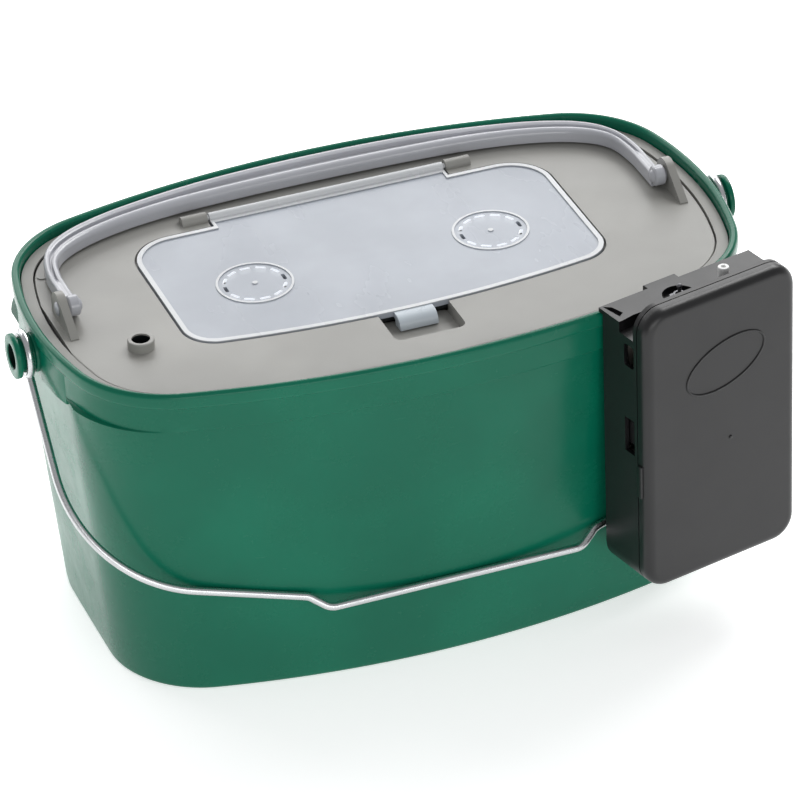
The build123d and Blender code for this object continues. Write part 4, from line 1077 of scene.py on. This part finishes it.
@dataclass
class PumpFront:
    """Front half of the pump: a cover with a bare oval border, a pip, side tongues and a release tab.

    Its sizes run along the pump, out of it and up, in millimetres. The pump is turned by the yaw, in degrees.
    """

    yaw: float = 13.0
    seam: float = 143.9
    face: float = 151.7
    left: float = 51.4
    right: float = 139.9
    base: float = 35.5
    top: float = 190.0
    corner: float = 12.5
    wall: float = 2.2
    round: float = 4.5
    edge: Profile = ((0.0, 0.35), (0.1, 0.12), (0.35, 0.0))
    bar_corner: float = 0.5
    tab_corner: float = 0.7
    bite: float = 0.3
    window_z: float = 118.6
    window_half: float = 6.5
    tongue: float = 1.8
    tongue_from: float = 132.5
    cell_pads: Pair = (79.6, 111.6)
    pad_half: float = 2.0
    pad_from: float = 146.7
    pad_z: Pair = (50.0, 86.0)
    tab_n: Pair = (144.2, 147.8)
    tab_z: Pair = (88.0, 106.0)
    oval: Pair = (97.7, 149.3)
    oval_half: Pair = (23.4, 12.3)
    oval_tilt: float = 16.0
    oval_wire: float = 0.58
    pip: Pair = (100.5, 106.6)
    # Distance out of the face, and radius
    pip_dome: Profile = ((-0.3, 1.0), (0.15, 1.0), (0.42, 0.85), (0.56, 0.5), (0.6, 0.15))

    def spot(self, s: float, n: float, z: float) -> Vector:
        """A point given along, out of and up the pump, in metres."""
        c, k = cos(radians(self.yaw)), sin(radians(self.yaw))
        return point(s * c + n * k, s * k - n * c, z)

    def round_box(self, s: Pair, z: Pair, n: float, r: float, steps: int) -> Ring:
        """A round-cornered rectangle, along and up the pump, at a depth.

        Args:
            s: Low and high along the pump.
            z: Low and high.
            n: Depth, out of the pump.
            r: Corner radius.
            steps: Steps round each corner.

        Returns:
            The ring in metres.
        """
        right, left, low, high = s[1] - r, s[0] + r, z[0] + r, z[1] - r
        ring = []
        for i, (cs, cz) in enumerate(((right, low), (right, high), (left, high), (left, low))):
            for k in range(steps + 1):
                t = radians(90 * (i - 1) + 90 * k / steps)
                ring.append(self.spot(cs + r * cos(t), n, cz + r * sin(t)))
        return ring

    def outline(self, n: float, by: float) -> Ring:
        """The pump's round-cornered outline at a depth, set in by a distance."""
        r = max(0.6, self.corner - by)
        return self.round_box((self.left + by, self.right - by), (self.base + by, self.top - by), n, r, 10)

    def bar(self, name: str, s: Pair, n: Pair, z: Pair, r: float) -> Piece:
        """A bar with round corners that runs along the pump's depth.

        Args:
            name: Name of the piece.
            s: Low and high along the pump.
            n: Low and high out of the pump.
            z: Low and high.
            r: Corner radius.

        Returns:
            The closed piece.
        """
        rings = []
        for depth, trim in eased_run(*n, self.edge):
            box = (s[0] + trim, s[1] - trim), (z[0] + trim, z[1] - trim)
            rings.append(self.round_box(*box, depth, r - trim, 4))
        return skin(name, rings)

    def shell(self) -> Piece:
        """The dished cover, from the middle of its inside out over the seam and the rounded face.

        Returns:
            The closed piece.
        """
        inner = self.face - self.wall
        steps = [(inner, 9.0), (inner, self.wall + 0.9), (inner, self.wall + 0.5), (inner - 0.5, self.wall)]
        steps += [(self.seam + 0.2, self.wall), (self.seam, self.wall - 0.2), (self.seam, 0.5)]
        steps += [(self.seam + 0.12, 0.12), (self.seam + 0.4, 0.0), (self.face - self.round - 0.4, 0.0)]
        steps += [(self.face - self.round * s, self.round * c) for s, c in quarter(9)]
        steps += [(self.face, self.round + 0.6), (self.face, 10.0)]
        return skin("pump_front", [self.outline(n, by) for n, by in steps])

    def border(self) -> Piece:
        """Raised oval border with a bare middle.

        Returns:
            The closed piece.
        """
        (s, z), (a, b) = self.oval, self.oval_half
        c, k = cos(radians(self.oval_tilt)), sin(radians(self.oval_tilt))
        loop = []
        for t in (TAU * i / 96 for i in range(96)):
            u, v = a * cos(t), b * sin(t)
            loop.append(self.spot(s + u * c - v * k, self.face + 0.02, z + u * k + v * c))
        return sweep("oval_border", loop, self.oval_wire * MM, 12, closed=True)

    def dome(self) -> Piece:
        """Small domed pip on the face.

        Returns:
            The closed piece.
        """
        turns = [TAU * i / 24 for i in range(24)]
        s, z = self.pip
        rings = []
        for out, r in self.pip_dome:
            n = self.face + out
            rings.append([self.spot(s + r * cos(t), n, z + r * sin(t)) for t in turns])
        return skin("front_pip", rings)

    @staticmethod
    def fit(obj: Piece, material: Material, *nodes: str) -> None:
        """Seat a piece on the cover."""
        seat(obj, "cover", "black_plastic", material, *nodes)

    def build(self, material: Material) -> None:
        """Model the cover and what stands on it.

        Args:
            material: Finish of all of them.
        """
        front = self.shell()
        settle(front)
        self.fit(front, material, "pump_cover")
        self.fit(self.border(), material)
        self.fit(self.dome(), material)
        ends = (Side.LEFT, Side.RIGHT)
        inner = self.face - self.wall + self.bite
        window = (self.window_z - self.window_half, self.window_z + self.window_half)
        margin = self.wall + 0.4
        for side, s in zip(ends, (self.left + margin, self.right - margin - self.tongue)):
            name, span = f"cover_tongue_{side.name.lower()}", (s, s + self.tongue)
            self.fit(self.bar(name, span, (self.tongue_from, inner), window, self.bar_corner), material)
        for side, s in zip(ends, self.cell_pads):
            name, span = f"cell_pad_{side.name.lower()}", (s - self.pad_half, s + self.pad_half)
            depth = (self.pad_from, inner)
            self.fit(self.bar(name, span, depth, self.pad_z, self.bar_corner), material)
        tab = (self.left - 1.0, self.left + 0.6)
        self.fit(self.bar("release_tab", tab, self.tab_n, self.tab_z, self.tab_corner), material)


@dataclass
class Dressing:
    """CAD nodes that keep their shape and only get a material."""

    finishes: tuple = (
        (WORKS, ("pump_chassis", "connecting_rod", "pump_head", "valve_cover", "eccentric")),
        (STEEL, (
            "chassis_screws", "motor", "motor_clamp", "clamp_screw", "motor_shaft", "head_screws",
            "contact_springs",
        )),
        (DARK_STEEL, ("switch_body", "switch_nut", "switch_lever")),
        (CELL, ("battery_cell_left", "battery_cell_right")),
        (RUBBER, ("diaphragm",)),
        (BRASS, ("contact_plates",)),
    )

    def build(self) -> None:
        """Give each kept node its material."""
        for finish, nodes in self.finishes:
            material = finish.make()
            for node in nodes:
                dress(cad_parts[node], material)
                LOG.info("node %s dressed", node)


@dataclass
class Studio:
    """Pale floor, soft lights and the camera. Places are in metres, angles in degrees, powers in watts."""

    place: Triple = (-0.7797, -2.1965, 1.5487)
    azimuth: float = -19.77
    elevation: float = 32.06
    roll: float = -2.26
    lens: float = 251.9
    floor_size: float = 14.0
    air_colour: Colour = (0.98, 0.985, 1.0)
    air: float = 0.42

    def build(self) -> None:
        """Set up the whole studio."""
        self.floor()
        self.lights()
        self.camera()

    def floor(self) -> None:
        """Large pale sheet under the bucket."""
        bpy.ops.object.select_all(action="DESELECT")
        bpy.ops.mesh.primitive_plane_add(size=self.floor_size, location=(0, 0, 0))
        floor = bpy.context.object
        floor.name = "studio_floor"
        dress(floor, StudioFloor("floor_paper").make())

    @staticmethod
    def area(name: str, where: Triple, aim: Triple, size: Pair, power: float) -> None:
        """One soft rectangular light that the camera doesn't see.

        Args:
            name: Name of the light.
            where: Place of its middle.
            aim: Point that it faces.
            size: Width and height.
            power: Strength in watts.
        """
        data = bpy.data.lights.new(name, "AREA")
        data.shape, data.energy = "RECTANGLE", power
        data.size, data.size_y = size
        lamp = bpy.data.objects.new(name, data)
        bpy.context.scene.collection.objects.link(lamp)
        lamp.location = where
        lamp.visible_camera = False
        lamp.rotation_euler = (Vector(aim) - Vector(where)).to_track_quat("-Z", "Y").to_euler()

    def lights(self) -> None:
        """Even air, a key box at the right rear, a wide wash from the rear and a card in front."""
        world = bpy.data.worlds.new("studio_air")
        bpy.context.scene.world = world
        world.use_nodes = True
        colour, strength = world.node_tree.nodes["Background"].inputs[:2]
        colour.default_value, strength.default_value = (*self.air_colour, 1.0), self.air
        self.area("key_box", where=(1.2, 0.8, 1.6), aim=(0.0, 0.0, 0.1), size=(1.0, 1.0), power=21.0)
        self.area("rear_box", where=(0.0, 1.5, 0.95), aim=(0.0, 0.0, 0.15), size=(2.6, 0.9), power=21.0)
        self.area("front_card", where=(-0.2, -2.4, 0.9), aim=(0.0, 0.0, 0.08), size=(2.2, 1.0), power=16.0)

    def camera(self) -> None:
        """The photograph's view."""
        a, e, r = (radians(v) for v in (self.azimuth, self.elevation, self.roll))
        back = Vector((sin(a) * cos(e), -cos(a) * cos(e), sin(e)))
        right = (-back).cross(Vector((0, 0, 1))).normalized()
        up = right.cross(-back)
        across = right * cos(r) + up * sin(r)
        upward = -right * sin(r) + up * cos(r)
        data = bpy.data.cameras.new("view_camera")
        data.lens, data.sensor_width, data.clip_end = self.lens, 36.0, 60.0
        camera = bpy.data.objects.new("view_camera", data)
        bpy.context.scene.collection.objects.link(camera)
        turn = Matrix((across, upward, back)).transposed()
        camera.matrix_world = Matrix.Translation(Vector(self.place)) @ turn.to_4x4()
        bpy.context.scene.camera = camera


def main() -> None:
    """Build every sub-assembly in order."""
    logging.basicConfig(level=logging.INFO, format="%(name)s: %(message)s")
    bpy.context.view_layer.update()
    bpy.context.scene.view_settings.view_transform = "Standard"
    black = BLACK.make()
    BucketShell().build(GREEN.make(), BORE_SHADE.make())
    Bail().build(ZINC.make())
    seat_copy("liner_basket", "inner_bucket", 0.4, "liner", "liner_plastic", LINER.make())
    seat_copy("lid_plate", "lid_panel", 0.35, "lid", "lid_plastic", LID.make())
    Hatch().build(HATCH.make(), TONGUE.make())
    LidHandle().build(HANDLE.make())
    seat_copy("pump_housing", "pump_body", 0.4, "pump", "black_plastic", black)
    PumpFront().build(black)
    seat_copy("air_nipple", "outlet_nipple", 0.2, "pump", "white_plastic", WHITE.make())
    Dressing().build()
    Studio().build()


if __name__ == "__main__":
    main()
